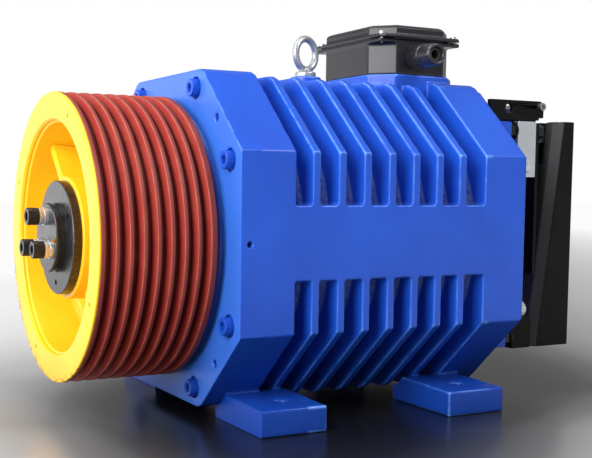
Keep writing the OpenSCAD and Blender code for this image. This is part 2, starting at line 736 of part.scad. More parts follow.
module box_lid() color(black) translate([0, 0, shaft_height + lid_base]) difference() {
  union() {
    linear_extrude(flange_thickness) flange_outline();
    linear_extrude(flange_thickness + lid_height - 4) box_outline(0.5);
    linear_extrude(flange_thickness + lid_height - 1.5) box_outline(3.5);
    linear_extrude(flange_thickness + lid_height) box_outline(8);
  }
  translate([0, 0, -eps]) linear_extrude(flange_thickness + lid_height - 3) box_outline(11.5);
  each_lid_screw() translate([0, 0, -eps]) cylinder(h = 30, r = 2.5 + screw_fit);
}

module box_lid_screws() color(zinc) translate([0, 0, shaft_height + lid_base])
  each_lid_screw() difference() {
    union() {
      translate([0, 0, -8]) cylinder(h = 9 + flange_thickness - 1, r = 2.5);
      translate([0, 0, flange_thickness]) cylinder(h = 4, r = 4.4);
    }
    translate([0, 0, flange_thickness + 2.5]) span([-5, -0.6, 0], [5, 0.6, 4]);
  }

module terminal_block() color([0.75, 0.2, 0.12]) translate([box_mid + 8, 0, shaft_height + pad_top + 4])
  difference() {
    union() {
      span([-30, -52, 0], [30, 52, 8]);
      for (i = [-3 : 3]) span([-26, i * 14 - 1.2, 7], [26, i * 14 + 1.2, 20]);
    }
    for (i = [-2.5 : 1 : 2.5], x = [-14, 14]) translate([x, i * 14, 2]) cylinder(h = 10, r = 2.5 + locating);
  }

module terminal_studs() color(brass) translate([box_mid + 8, 0, shaft_height + pad_top + 4])
  for (i = [-2.5 : 1 : 2.5], x = [-14, 14]) translate([x, i * 14, 0]) {
    translate([0, 0, 2.2]) cylinder(h = 19, r = 2.5);
    translate([0, 0, 8]) cylinder(h = 5, r = 5, $fn = 6);
  }

module gland_body() color([0.16, 0.16, 0.17]) translate([gland_x, -box_half, shaft_height + gland_z]) difference() {
  union() {
    rod_y_dir(-1, 12, 12.5);
    rod_y_dir(-3, 0, 19);
    rod_y_dir(-11, -2.9, 18, fn = 6);
    rod_y_dir(-30, -10, 13.4);
  }
  rod_y_dir(-31, 13, gland_bore / 2);
}

module gland_nuts() color([0.16, 0.16, 0.17]) translate([gland_x, -box_half, shaft_height + gland_z]) {
  difference() {
    rotate([90, 0, 0]) rotate_extrude() polygon([
      [13.4 + locating, 12.4], [17, 12.4], [17.6, 14], [17.6, 21], [16.4, 24], [16, 40],
      [15, 47], [13, 50], [10, 50], [10, 36], [13.4 + locating, 36]
    ]);
    for (a = [0 : 30 : 330]) rotate([0, a, 0]) rod_y_dir(-22, -12, 1, x = 18);
  }
  // locknut inside the box
  difference() {
    rod_y_dir(4, 9, 18, fn = 6);
    rod_y_dir(3, 10, 12.5 + locating);
  }
}

module gland_seal() color(rubber) translate([gland_x, -box_half, shaft_height + gland_z]) difference() {
  union() {
    rod_y_dir(-45, -30.2, 10 - locating);
    rod_y_dir(-35.8, -30.2, 13.2);
  }
  rod_y_dir(-46, -29, 6.5);
}

// ------------------------------------------------------------------ brake

module brake_drum() color(dark_steel) at_shaft() difference() {
  union() {
    tube_x(drum_front, drum_back, drum_radius, drum_radius - 12);
    rod_x_dir(drum_front + 22, drum_front + 38, drum_radius - 5);
    rod_x_dir(drum_front, drum_back, 54);
  }
  rod_x_dir(drum_front - eps, drum_back + eps, 35 + locating);
  span([drum_front - eps, -5.05, 0], [drum_back + eps, 5.05, 38.4]);
  for (a = [30 : 60 : 330]) rotate([a, 0, 0]) rod_x_dir(drum_front, drum_back, 10, z = 73);
}

module carrier_plate() color(black) at_shaft() difference() {
  union() {
    span([carrier_front, -brake_half + 1, -carrier_low], [carrier_back, brake_half - 1, carrier_high]);
    each_side() span([carrier_front - 5, -ear_outer, carrier_high - 6], [carrier_back + 5, -ear_inner, release_z + 11]);
  }
  span([carrier_front - eps, -brake_half, 176], [carrier_back + eps, -brake_half + 9, 191]);
  rod_y_dir(-ear_outer - eps, ear_outer + eps, 7 + running, x = release_x, z = release_z);
  rod_x_dir(carrier_front - eps, carrier_back + eps, 56);
  each_side() {
    rod_x_dir(carrier_front - eps, carrier_back + eps, m16 + screw_fit, y = -lug_y, z = lug_z);
    for (z = [118, 148]) rod_x_dir(carrier_front - eps, carrier_back + eps, 4 + locating, y = -30, z = z);
  }
}

module spacer_blocks() color(zinc) at_shaft() each_side() difference() {
  span([spacer_front, -brake_half + 1, block_low], [carrier_front, -block_inner, lug_z + 15]);
  rod_x_dir(spacer_front - eps, carrier_front + eps, m16 + screw_fit, y = -lug_y, z = lug_z);
}

module pivot_brackets() color(black) at_shaft() each_side() difference() {
  span([spacer_front, -brake_half + 1, -bracket_low], [carrier_front, -bracket_inner, -bracket_low + 52]);
  rod_x_dir(spacer_front - eps, carrier_front + eps, m16 + screw_fit, y = -lug_y, z = -lug_z);
  rod_x_dir(spacer_front + 4, carrier_front + eps, pivot_pin / 2 + locating, y = -pivot_y, z = pivot_z + 8);
}

// studs in the shield's lugs, with the nuts on both sides of each block
module brake_studs() color(zinc) at_shaft() each_side() {
  rod_x_dir(shield_back + 8, carrier_back + 14, m16, y = -lug_y, z = lug_z);
  rod_x_dir(lug_back, lug_back + 12, 13.5, y = -lug_y, z = lug_z, fn = 6);
  rod_x_dir(carrier_back, carrier_back + 12, 13.5, y = -lug_y, z = lug_z, fn = 6);
  rod_x_dir(shield_back + 8, carrier_front, m16, y = -lug_y, z = -lug_z);
  rod_x_dir(lug_back, lug_back + 12, 13.5, y = -lug_y, z = -lug_z, fn = 6);
  mirror_z() rod_x_dir(lug_back + 11.9, spacer_front, 15, y = -lug_y, z = lug_z);
  // screws that hold the magnet on the carrier plate
  for (z = [118, 148]) translate([carrier_front, -30, z]) cap_screw(8, carrier_thickness + 12);
}

module pivot_pins() color(steel) at_shaft() each_side()
  rod_x_dir(spacer_front + 5, arm_back - 3, pivot_pin / 2, y = -pivot_y, z = pivot_z + 8);

// everything behind the arms' sloping front, with the chamfer along its edge
module arm_envelope()
  translate([carrier_front + 0.5 + 23, 0, 0]) rotate([0, arm_slant, 0]) translate([0, 0, -220])
    linear_extrude(440) polygon([
      [0, -brake_half + arm_chamfer], [arm_chamfer, -brake_half], [130, -brake_half],
      [130, -72], [0, -72]
    ]);

module arm_half() {
  difference() {
    intersection() {
      arm_envelope();
      span([carrier_front - 20, -brake_half - 1, -arm_half_height], [arm_back, -70, arm_half_height]);
    }
    rod_x_dir(carrier_front - 20, arm_back + eps, arm_inner);
    span([carrier_front - 20, -arm_inner, 0], [arm_back + eps, -60, arm_half_height + eps]);
    // pocket for the head of the tie rod, open to the rear and the top
    span([rod_x - 11, -brake_half + 6, rod_z - 14], [arm_back + eps, -arm_inner - 8, arm_half_height + eps]);
    rod_y_dir(-brake_half + 6, -arm_inner + eps, 6.2, x = rod_x, z = rod_z);
    rod_x_dir(carrier_front - 20, arm_back + eps, pivot_pin / 2 + running, y = -pivot_y, z = pivot_z + 8);
    // waist between the shoe and the pivot
    rod_x_dir(carrier_front - 20, arm_back + eps, 16, y = -92, z = -106);
  }
}

module brake_arm_left() color(black) at_shaft() arm_half();
module brake_arm_right() color(black) at_shaft() mirror([0, 1, 0]) arm_half();

module lining_at_left() intersection() {
  arm_envelope();
  tube_x(drum_front + 3, drum_back - 3, arm_inner, drum_radius + lining_gap);
  along_x(drum_front, drum_back) polygon([[0, 0], [-200, 150], [-200, -150]]);
}

module lining_left() color([0.3, 0.24, 0.2]) at_shaft() lining_at_left();
module lining_right() color([0.3, 0.24, 0.2]) at_shaft() mirror([0, 1, 0]) lining_at_left();

module tie_rod() {
  rod_y_dir(-arm_inner - 18, -43, 5, x = rod_x, z = rod_z);
  rod_y_dir(-arm_inner - 16, -arm_inner - 8, 9, x = rod_x, z = rod_z, fn = 6);
  rod_y_dir(-50, -44, 8.5, x = rod_x, z = rod_z, fn = 6);
}

module tie_rod_left() color(zinc) at_shaft() tie_rod();
module tie_rod_right() color(zinc) at_shaft() mirror([0, 1, 0]) tie_rod();

module spring_half() {
  turns = 9; wire = 1.9; length = 40; step = (length - 2 * wire) / (turns - 1);
  translate([rod_x, -yoke_half + 6, rod_z]) rotate([-90, 0, 0]) rotate_extrude() {
    for (i = [0 : turns - 1]) translate([8.2, wire + i * step]) circle(r = wire, $fn = 24);
    translate([7.7, wire]) square([1, length - 2 * wire]);
  }
}

module spring_left() color(steel) at_shaft() spring_half();
module spring_right() color(steel) at_shaft() mirror([0, 1, 0]) spring_half();

module magnet_body() color([0.2, 0.2, 0.22]) at_shaft() difference() {
  union() {
    span([carrier_back, -48, 110], [rod_x - 20, 48, 156]);
    span([rod_x - 20, -yoke_half, 111], [arm_back + 2, yoke_half, 154]);
  }
  rod_y_dir(-yoke_half - 1, yoke_half + 1, plunger_radius + running, x = rod_x, z = plunger_z);
  each_side() for (z = [118, 148]) rod_x_dir(carrier_back - eps, carrier_back + 14, 4 + locating, y = -30, z = z);
}

module plunger() {
  rod_y_dir(-arm_inner + 0.3, -22, plunger_radius, x = rod_x, z = plunger_z);
  rod_y_dir(-yoke_half - 8, -yoke_half - 3, 13, x = rod_x, z = plunger_z);
}

module plunger_left() color(steel) at_shaft() plunger();
module plunger_right() color(steel) at_shaft() mirror([0, 1, 0]) plunger();

module spring_yoke() color(black) at_shaft() difference() {
  union() {
    span([rod_x - 17, -yoke_half, 154], [arm_back + 2, yoke_half, 157]);
    each_side() span([rod_x - 17, -yoke_half, 156], [arm_back + 2, -yoke_half + 6, 180]);
  }
  rod_y_dir(-yoke_half - 1, yoke_half + 1, 7.6, x = rod_x, z = rod_z);
}

module release_lever() color(black) at_shaft() {
  y0 = -brake_half;
  difference() {
    union() {
      span([shield_back + 2, y0, 180], [release_x, y0 + 8, 210]);
      rod_y_dir(y0, y0 + 8, 9, x = release_x, z = release_z);
      span([release_x - eps, y0, 184], [release_x + 9, y0 + 8, release_z]);
    }
    rod_y_dir(y0 - eps, y0 + 9, 7.5, x = release_x - 61, z = 197);
    rod_y_dir(y0 - eps, y0 + 9, 4 + locating, x = release_x, z = release_z);
  }
}

module release_shaft() color(steel) at_shaft() {
  rod_y_dir(-brake_half + 8, brake_half - 12, 7, x = release_x, z = release_z);
  each_side() {
    // wedge finger: down beside the plate, then back between arm and plunger
    span([carrier_back + 9, -finger_out, release_z - 53], [finger_back, -finger_in, release_z - 2]);
    span([carrier_back + 9, -finger_out, release_z - 54], [rod_x - 10, -finger_in, release_z - 43]);
    rod_y_dir(-finger_out, -finger_in, 10.4, x = release_x, z = release_z);
    span([release_x, -finger_out, release_z - 10], [finger_back, -finger_in, release_z]);
  }
  // screw that holds the lever on the shaft's end
  translate([release_x, -brake_half, release_z]) rotate([0, 0, 90]) cap_screw(8, 10);
}

module switches() color([0.14, 0.14, 0.15]) at_shaft() each_side() {
  span([carrier_back, -94, 126], [carrier_back + 22, -70, 166]);
  rod_y_dir(-98, -93.9, 3, x = carrier_back + 11, z = 156);
}

module encoder_body() color([0.2, 0.2, 0.21]) at_shaft() difference() {
  x0 = arm_back + 7;
  union() {
    span([arm_back + 2, -24, -34], [x0 + eps, 24, 150]);
    rod_x_dir(x0, x0 + 6, 32);
    rod_x_dir(x0 + 5, x0 + 34, 29);
    span([x0 + 8, -9, 20], [x0 + 28, 9, 38]);
  }
  rod_x_dir(arm_back, x0 + 31, 15);
}

module encoder_hub() color(steel) at_shaft() difference() {
  rod_x_dir(arm_back + 3, arm_back + 35, 14.5);
  rod_x_dir(arm_back + 2, arm_back + 36, 10 + locating);
}

housing();
feet();
front_shield();
front_cover();
rear_shield();
rear_cover();
shaft_seals();
cover_screws();
front_shield_screws();
rear_shield_screws();
front_bearing_outer();
front_bearing_inner();
rear_bearing_outer();
rear_bearing_inner();
stator_core();
stator_winding();
rotor_hub();
rotor_magnets();
shaft();
shaft_keys();
sheave();
groove_rim();
clamp_disc();
end_plate();
grease_plug();
clamp_screws();
clamp_washers();
eye_bolt();
box_base();
box_gasket();
box_lid();
box_lid_screws();
terminal_block();
terminal_studs();
gland_body();
gland_nuts();
gland_seal();
brake_drum();
carrier_plate();
spacer_blocks();
pivot_brackets();
brake_studs();
pivot_pins();
brake_arm_left();
brake_arm_right();
lining_left();
lining_right();
tie_rod_left();
tie_rod_right();
spring_left();
spring_right();
magnet_body();
plunger_left();
plunger_right();
spring_yoke();
release_lever();
release_shaft();
switches();
encoder_body();
encoder_hub();
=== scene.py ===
import bpy, bmesh, json, math, random
from mathutils import Matrix, Vector


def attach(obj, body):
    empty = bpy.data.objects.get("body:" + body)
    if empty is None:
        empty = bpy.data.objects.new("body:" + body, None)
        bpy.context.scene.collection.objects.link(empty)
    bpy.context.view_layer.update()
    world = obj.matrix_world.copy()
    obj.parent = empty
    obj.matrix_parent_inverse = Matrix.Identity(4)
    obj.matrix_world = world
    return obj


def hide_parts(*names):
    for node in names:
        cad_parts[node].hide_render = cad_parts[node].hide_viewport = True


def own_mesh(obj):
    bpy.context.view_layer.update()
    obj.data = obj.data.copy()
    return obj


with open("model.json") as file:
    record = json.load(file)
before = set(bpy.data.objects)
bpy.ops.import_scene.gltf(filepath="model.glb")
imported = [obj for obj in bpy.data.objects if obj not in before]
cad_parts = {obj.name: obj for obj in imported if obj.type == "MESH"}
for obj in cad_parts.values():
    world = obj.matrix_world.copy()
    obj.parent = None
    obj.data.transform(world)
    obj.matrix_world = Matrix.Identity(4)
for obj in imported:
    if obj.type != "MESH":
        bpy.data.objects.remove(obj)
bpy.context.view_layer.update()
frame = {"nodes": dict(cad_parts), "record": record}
nodes = frame["nodes"]
scene = bpy.context.scene
mm = 0.001
shaftRise = 248  # height of the shaft over the floor, in mm
shaftHeight = shaftRise * mm
weldReach = 0.00001  # corners closer than this are one
print("frame loaded:", len(nodes), "nodes")

# the studio camera, in the part's frame
cameraPlan = {"place": (-0.82415, -1.37721, 0.32519), "turn": 26.66, "dip": 4.33, "roll": 0.52,
              "lens": 62.37, "shift": (0.113, 0.0539)}


def setCamera(plan):
    turn, dip, roll = (math.radians(plan[k]) for k in ("turn", "dip", "roll"))
    ahead = Vector((math.sin(turn) * math.cos(dip), math.cos(turn) * math.cos(dip), -math.sin(dip)))
    right = Vector((math.cos(turn), -math.sin(turn), 0))
    up = right.cross(ahead)
    side = right * math.cos(roll) + up * math.sin(roll)
    top = up * math.cos(roll) - right * math.sin(roll)
    data = bpy.data.cameras.new("studioCamera")
    data.lens, data.sensor_width, data.sensor_fit = plan["lens"], 36, "HORIZONTAL"
    data.shift_x, data.shift_y = plan["shift"]
    data.clip_start, data.clip_end = 0.02, 60
    camera = bpy.data.objects.new("studioCamera", data)
    camera.matrix_world = Matrix((
        (side.x, top.x, -ahead.x, plan["place"][0]), (side.y, top.y, -ahead.y, plan["place"][1]),
        (side.z, top.z, -ahead.z, plan["place"][2]), (0, 0, 0, 1)))
    scene.collection.objects.link(camera)
    scene.camera = camera


setCamera(cameraPlan)
print("camera set")


# a wire is a socket's value, so shader maths reads as plain expressions
class Wire:
    def __init__(self, paint, socket):
        self.paint, self.socket = paint, socket

    def maths(self, operation, *values):
        return self.paint.add("Math", {"operation": operation}, values)

    def __add__(self, other):
        return self.maths("ADD", self, other)

    def __radd__(self, other):
        return self.maths("ADD", other, self)

    def __sub__(self, other):
        return self.maths("SUBTRACT", self, other)

    def __rsub__(self, other):
        return self.maths("SUBTRACT", other, self)

    def __mul__(self, other):
        return self.maths("MULTIPLY", self, other)

    def __rmul__(self, other):
        return self.maths("MULTIPLY", other, self)

    def __truediv__(self, other):
        return self.maths("DIVIDE", self, other)

    def __rtruediv__(self, other):
        return self.maths("DIVIDE", other, self)

    def __pow__(self, other):
        return self.maths("POWER", self, other)

    def __rpow__(self, other):
        return self.maths("POWER", other, self)


# a paint builds the nodes of one material, or of the world
class Paint:
    def __init__(self, name, kind="materials"):
        self.owner = getattr(bpy.data, kind).new(name)
        self.owner.use_nodes = True
        self.tree = self.owner.node_tree
        self.tree.nodes.clear()
        if kind == "materials":
            self.place = self.add("TexCoord", out="Object")

    def add(self, kind, settings=None, values=(), out=0):
        made = self.tree.nodes.new("ShaderNode" + kind)
        for key, value in (settings or {}).items():
            if key == "stops":
                stops = made.color_ramp.elements
                while len(stops) < len(value):
                    stops.new(0.5)
                for stop, (at, shade) in zip(stops, value):
                    stop.position, stop.color = at, (shade, shade, shade, 1)
            else:
                setattr(made, key, value)
        for key, value in (values.items() if isinstance(values, dict) else enumerate(values)):
            socket = made.inputs[key]
            if isinstance(value, Wire):
                self.tree.links.new(value.socket, socket)
            elif socket.type == "RGBA":
                socket.default_value = (*value, 1)
            else:
                socket.default_value = value
        return Wire(self, made.outputs[out]) if made.outputs else None

    def noise(self, scale, detail=3.0, rough=0.5, stretch=None):
        place = self.place
        if stretch is not None:
            place = self.add("Mapping", {}, {"Vector": place, "Scale": stretch})
        return self.add("TexNoise", {}, {"Vector": place, "Scale": scale, "Detail": detail,
                                         "Roughness": rough})

    def ramp(self, value, *stops):
        return self.add("ValToRGB", {"stops": stops}, {"Fac": value})

    # 0 where the value is low, 1 where it is high, even in between
    def between(self, low, high, value):
        return self.add("MapRange", {"clamp": True}, {"Value": value, "From Min": low, "From Max": high})

    def blend(self, amount, first, second):
        return self.add("Mix", {"data_type": "RGBA"}, {0: amount, 6: first, 7: second}, out=2)

    def part(self, axis):
        return self.add("SeparateXYZ", {}, {"Vector": self.place}, out=axis)

    # how far a point is from the shaft's middle line
    def shaftReach(self):
        y, z = self.part("Y"), self.part("Z") - shaftHeight
        return (y * y + z * z) ** 0.5

    def bump(self, height, depth, under=None):
        values = {"Height": height, "Distance": depth, "Strength": 1.0}
        if under is not None:
            values["Normal"] = under
        return self.add("Bump", {}, values)

    # closes a material; a socket's name is written with _ for its spaces
    def shine(self, fixed, **varying):
        named = {key.replace("_", " "): value for key, value in varying.items()}
        shader = self.add("BsdfPrincipled", {}, {**fixed, **named})
        self.add("OutputMaterial", {}, {"Surface": shader})
        return self.owner


# between the ribs: painted highlights on the crests and, weaker, along the roots, in patches, and the
# barrel's sandy casting skin, made paler as painted light in the shaded pockets
ribLook = {"span": (-0.139, 0.168), "fade": 0.003, "crestHighlight": (0.12, 0.30, 0.80), "wearAndHighlightScale": 34,
           "wearAndHighlightFrom": (0.3, 0.55), "ridgeFrom": (0.52, 0.56), "rootFrom": (0.485, 0.45), "rootHighlightAmount": 0.5,
           "barrel": 0.216, "barrelFrom": (0.0022, 0.0010), "sand": (0.20, 0.27, 0.50), "sandScale": 160,
           "sandFrom": (0.35, 0.62)}


def ribFinish(paint, colour, look):
    fold = paint.add("NewGeometry", out="Pointiness")
    along, start, stop, fade = paint.part("X"), *look["span"], look["fade"]
    ribbed = paint.between(start, start + fade, along) * paint.between(stop, stop - fade, along)
    # painted highlight: convex edges lighter, and concave roots a little lighter, in patches
    highlightPatches = ribbed * paint.between(*look["wearAndHighlightFrom"], paint.noise(look["wearAndHighlightScale"], 4, 0.6))
    colour = paint.blend(paint.between(*look["ridgeFrom"], fold) * highlightPatches, colour, look["crestHighlight"])
    rootHighlight = paint.between(*look["rootFrom"], fold) * highlightPatches * look["rootHighlightAmount"]
    colour = paint.blend(rootHighlight, colour, look["crestHighlight"])
    # sandy casting skin on the barrel, its pale colour partly painted light in the shaded pockets
    barrel = paint.between(*look["barrelFrom"], paint.shaftReach() - look["barrel"]) * ribbed
    crust = paint.between(*look["sandFrom"], paint.noise(look["sandScale"], 4, 0.75))
    return paint.blend(barrel * crust, colour, look["sand"])


# paint with soft patches, orange-peel ripple, fine grain and dark specks; where a look asks, painted shade
# towards the floor, painted highlights on the ribs and painted light on faces turned to the front
def enamel(name, look):
    paint = Paint(name)
    patches = paint.noise(look["patchScale"], 3)
    grain = paint.noise(look["grainScale"], 2, 0.6)
    ripple = paint.noise(look["rippleScale"], 2)
    specks = paint.between(*look["speckFrom"], paint.noise(look["speckScale"], 2, 0.6))
    colour = paint.blend(paint.between(*look["patchFrom"], patches), look["colour"], look["shade"])
    colour = paint.blend(specks * look["speckAmount"], colour, look["speck"])
    # painted shade: the colour darkens towards the floor
    if "low" in look:
        low = paint.between(look["lowUnder"], 0.0, paint.part("Z")) * look["lowAmount"]
        colour = paint.blend(low, colour, look["low"])
    if "ribs" in look:
        colour = ribFinish(paint, colour, look["ribs"])
    # painted light: faces turned to the front (-X) get a paler colour
    if "front" in look:
        facing = paint.add("SeparateXYZ", {}, {"Vector": paint.add("TexCoord", out="Normal")}, out="X")
        colour = paint.blend(paint.between(*look["frontFrom"], facing), colour, look["front"])
    rough = look["rough"] + (patches - 0.5) * look["roughShift"] + specks * look["roughShift"]
    normal = paint.bump(ripple, look["rippleDepth"])
    normal = paint.bump(grain, look["grainDepth"], normal)
    return paint.shine({"Coat Roughness": look["coatRough"], "Coat Weight": look["coat"],
                        "Specular IOR Level": look["specular"]},
                       Base_Color=colour, Roughness=rough, Normal=normal)


plainEnamel = {"patchFrom": (0.35, 0.7), "speckScale": 520, "speckFrom": (0.70, 0.76), "speckAmount": 0.35,
               "roughShift": 0.12, "frontFrom": (-0.4, -0.8)}
# its low colour is painted shade towards the floor
blueLook = {**plainEnamel, "colour": (0.010, 0.086, 0.57), "shade": (0.008, 0.068, 0.49),
            "speck": (0.004, 0.03, 0.28), "rough": 0.38, "patchScale": 9, "grainScale": 260,
            "rippleScale": 60, "rippleDepth": 0.0007, "grainDepth": 0.00008, "coat": 0.12,
            "coatRough": 0.22, "specular": 0.4, "low": (0.003, 0.020, 0.14), "lowUnder": 0.13,
            "lowAmount": 0.55, "ribs": ribLook}
shieldLook = {**blueLook, "front": (0.034, 0.140, 0.62)}  # its front face is painted paler, as painted light
blackLook = {**plainEnamel, "colour": (0.0040, 0.0038, 0.0046), "shade": (0.007, 0.0068, 0.008),
             "speck": (0.02, 0.02, 0.022), "rough": 0.36, "patchScale": 14, "grainScale": 340,
             "rippleScale": 80, "rippleDepth": 0.0004, "grainDepth": 0.00006, "coat": 0.0,
             "coatRough": 0.3, "specular": 0.12}
armLook = {**blackLook, "front": (0.07, 0.069, 0.073)}  # painted light on the sloping front
boxLook = {**blackLook, "colour": (0.012, 0.012, 0.016), "shade": (0.018, 0.018, 0.022), "rough": 0.26,
           "rippleScale": 30, "rippleDepth": 0.0003, "coat": 0.22, "coatRough": 0.14, "specular": 0.32}
glandLook = {**boxLook, "colour": (0.020, 0.020, 0.024), "rough": 0.3, "coat": 0.5}
yellowLook = {**plainEnamel, "colour": (0.88, 0.52, 0.012), "shade": (0.86, 0.44, 0.009), "rough": 0.34,
              "patchScale": 7, "grainScale": 240, "rippleScale": 45, "rippleDepth": 0.0006,
              "grainDepth": 0.00006, "coat": 0.15, "coatRough": 0.15, "specular": 0.25,
              "chip": (0.16, 0.05, 0.02), "chipScale": 150, "chipFrom": (0.50, 0.60), "chipDepth": 0.0003,
              "chipRough": 0.3, "chipReach": (0.190, 0.199), "chipSide": (0.02, 0.12),
              "chipTowards": (0.45, -0.8)}


# the sheave's enamel, chipped along the lower outer edge
def yellowEnamel(look):
    paint = Paint("yellowEnamel")
    patches = paint.noise(look["patchScale"], 3)
    grain = paint.noise(look["grainScale"], 2, 0.6)
    ripple = paint.noise(look["rippleScale"], 2)
    toY, toZ = look["chipTowards"]
    side = (paint.part("Z") - shaftHeight) * toZ + paint.part("Y") * toY
    lowEdge = paint.between(*look["chipReach"], paint.shaftReach()) * paint.between(*look["chipSide"], side)
    chips = paint.between(*look["chipFrom"], paint.noise(look["chipScale"], 5, 0.7)) * lowEdge
    colour = paint.blend(paint.between(*look["patchFrom"], patches), look["colour"], look["shade"])
    colour = paint.blend(chips, colour, look["chip"])
    rough = look["rough"] + (patches - 0.5) * look["roughShift"] + chips * look["chipRough"]
    normal = paint.bump(ripple, look["rippleDepth"])
    normal = paint.bump(grain, look["grainDepth"], normal)
    normal = paint.bump(1 - chips, look["chipDepth"], normal)
    return paint.shine({"Coat Roughness": look["coatRough"], "Coat Weight": look["coat"],
                        "Specular IOR Level": look["specular"]},
                       Base_Color=colour, Roughness=rough, Normal=normal)


# primer in the rope grooves: roots darkened as painted shade, dull lands, and on one side of each land a
# lighter line that is worn edge and painted highlight
redLook = {"root": (0.10, 0.005, 0.003), "wall": (0.36, 0.036, 0.026), "rootShadeFrom": (0.187, 0.1945),
           "land": (0.22, 0.038, 0.030), "landFrom": (0.1982, 0.1997), "dust": (0.50, 0.12, 0.08),
           "dustFrom": (0.5, 0.8), "dustAmount": 0.2, "edge": (0.56, 0.17, 0.12), "firstEdge": -386.7,
           "pitch": 18.5, "edgeWidth": (0.75, 0.3), "edgeFrom": (0.1978, 0.1992), "edgeHighlightAmount": 0.6,
           "wearAndHighlightScale": 50, "wearAndHighlightFrom": (0.25, 0.65), "rough": 0.40, "roughShift": 0.16, "patchScale": 22,
           "ringScale": 90, "ringStretch": (14, 0.6, 0.6), "ringDepth": 0.00025,
           "grainScale": 300, "grainDepth": 0.00005, "specular": 0.25}


def redOxide(look):
    paint = Paint("redOxide")
    reach = paint.shaftReach()
    patches = paint.noise(look["patchScale"], 4)
    rings = paint.noise(look["ringScale"], 2, 0.5, look["ringStretch"])
    # counted in pitches, half a pitch on and well above zero
    pitches = (paint.part("X") / mm - look["firstEdge"]) / look["pitch"] + 20.5
    fromEdge = (pitches.maths("FRACT", pitches) - 0.5) * look["pitch"]
    # a lighter line on one side of each land: worn edge with a painted highlight
    edge = paint.between(*look["edgeWidth"], fromEdge.maths("ABSOLUTE", fromEdge))
    edge = edge * paint.between(*look["edgeFrom"], reach) * look["edgeHighlightAmount"]
    edge = edge * paint.between(*look["wearAndHighlightFrom"], paint.noise(look["wearAndHighlightScale"], 4, 0.7))
    # painted shade: the groove roots darker than the walls
    colour = paint.blend(paint.between(*look["rootShadeFrom"], reach), look["root"], look["wall"])
    colour = paint.blend(paint.between(*look["landFrom"], reach), colour, look["land"])
    dust = paint.between(*look["dustFrom"], patches) * look["dustAmount"]
    colour = paint.blend(dust, colour, look["dust"])
    colour = paint.blend(edge, colour, look["edge"])
    normal = paint.bump(rings, look["ringDepth"])
    normal = paint.bump(paint.noise(look["grainScale"], 2), look["grainDepth"], normal)
    return paint.shine({"Specular IOR Level": look["specular"]}, Base_Color=colour,
                       Roughness=look["rough"] + patches * look["roughShift"], Normal=normal)


# bare and plated metal with fine turning lines, cloudy tone and a few stains
plainMetal = {"cloudScale": 40, "lineScale": 700, "stretch": (1, 1, 1), "depth": 0.00006,
              "stainColour": (0.2, 0.17, 0.14), "stainScale": 70, "stainFrom": (0.55, 0.8),
              "roughShift": 0.15, "specular": 0.5}
metalLooks = {
    "machined_steel": {"name": "machinedSteel", "colour": (0.52, 0.53, 0.55), "shade": (0.42, 0.43, 0.45),
                       "metal": 1.0, "rough": 0.3, "stain": 0.15},
    "dark_steel": {"name": "darkSteel", "colour": (0.040, 0.040, 0.044), "shade": (0.085, 0.085, 0.09),
                   "metal": 0.85, "rough": 0.28, "stretch": (0.4, 3, 3), "stain": 0.4},
    "black_oxide": {"name": "blackOxide", "colour": (0.020, 0.020, 0.022), "shade": (0.045, 0.045, 0.048),
                    "metal": 0.7, "rough": 0.26, "stain": 0.15},
    "zinc_plate": {"name": "zincPlate", "colour": (0.76, 0.79, 0.82), "shade": (0.64, 0.67, 0.70),
                   "metal": 0.85, "rough": 0.3, "stain": 0.12, "depth": 0.00004},
    "galvanised": {"name": "galvanised", "colour": (0.50, 0.53, 0.56), "shade": (0.38, 0.40, 0.43),
                   "metal": 0.7, "rough": 0.36, "stain": 0.3, "lineScale": 260, "depth": 0.0003},
    "brass": {"name": "turnedBrass", "colour": (0.66, 0.44, 0.14), "shade": (0.52, 0.33, 0.10),
              "metal": 1.0, "rough": 0.28, "stain": 0.2},
    "magnet": {"name": "nickelMagnet", "colour": (0.5, 0.49, 0.46), "shade": (0.42, 0.41, 0.39),
               "metal": 1.0, "rough": 0.22, "stain": 0.1},
}


def turnedMetal(look):
    paint = Paint(look["name"])
    cloud = paint.noise(look["cloudScale"], 4)
    lines = paint.noise(look["lineScale"], 2, 0.6, look["stretch"])
    stain = paint.between(*look["stainFrom"], paint.noise(look["stainScale"], 5, 0.65))
    colour = paint.blend(cloud, look["colour"], look["shade"])
    colour = paint.blend(stain * look["stain"], colour, look["stainColour"])
    rough = look["rough"] + (lines - 0.5) * look["roughShift"] + stain * look["roughShift"]
    return paint.shine({"Specular IOR Level": look["specular"], "Metallic": look["metal"]},
                       Base_Color=colour, Roughness=rough, Normal=paint.bump(lines, look["depth"]))


# rubber and plastics, with a fine grain from the mould
plainMoulding = {"grainScale": 600, "grainDepth": 0.00008, "cloudScale": 25, "roughShift": 0.16,
                 "specular": 0.4}
mouldedLooks = {
    "rubber": {"name": "rubberSeal", "colour": (0.016, 0.016, 0.017), "shade": (0.028, 0.028, 0.028),
               "rough": 0.6, "grainScale": 300, "grainDepth": 0.0001},
    "moulded_plastic": {"name": "mouldedPlastic", "colour": (0.020, 0.020, 0.022),
                        "shade": (0.032, 0.032, 0.034), "rough": 0.42},
    "terminal_plastic": {"name": "terminalMoulding", "colour": (0.30, 0.065, 0.035),
                         "shade": (0.36, 0.085, 0.045), "rough": 0.4},
}


def moulded(look):
    paint = Paint(look["name"])
    grain, cloud = paint.noise(look["grainScale"], 2, 0.6), paint.noise(look["cloudScale"], 3)
    return paint.shine({"Specular IOR Level": look["specular"]},
                       Base_Color=paint.blend(cloud, look["colour"], look["shade"]),
                       Roughness=look["rough"] + (cloud - 0.5) * look["roughShift"],
                       Normal=paint.bump(grain, look["grainDepth"]))


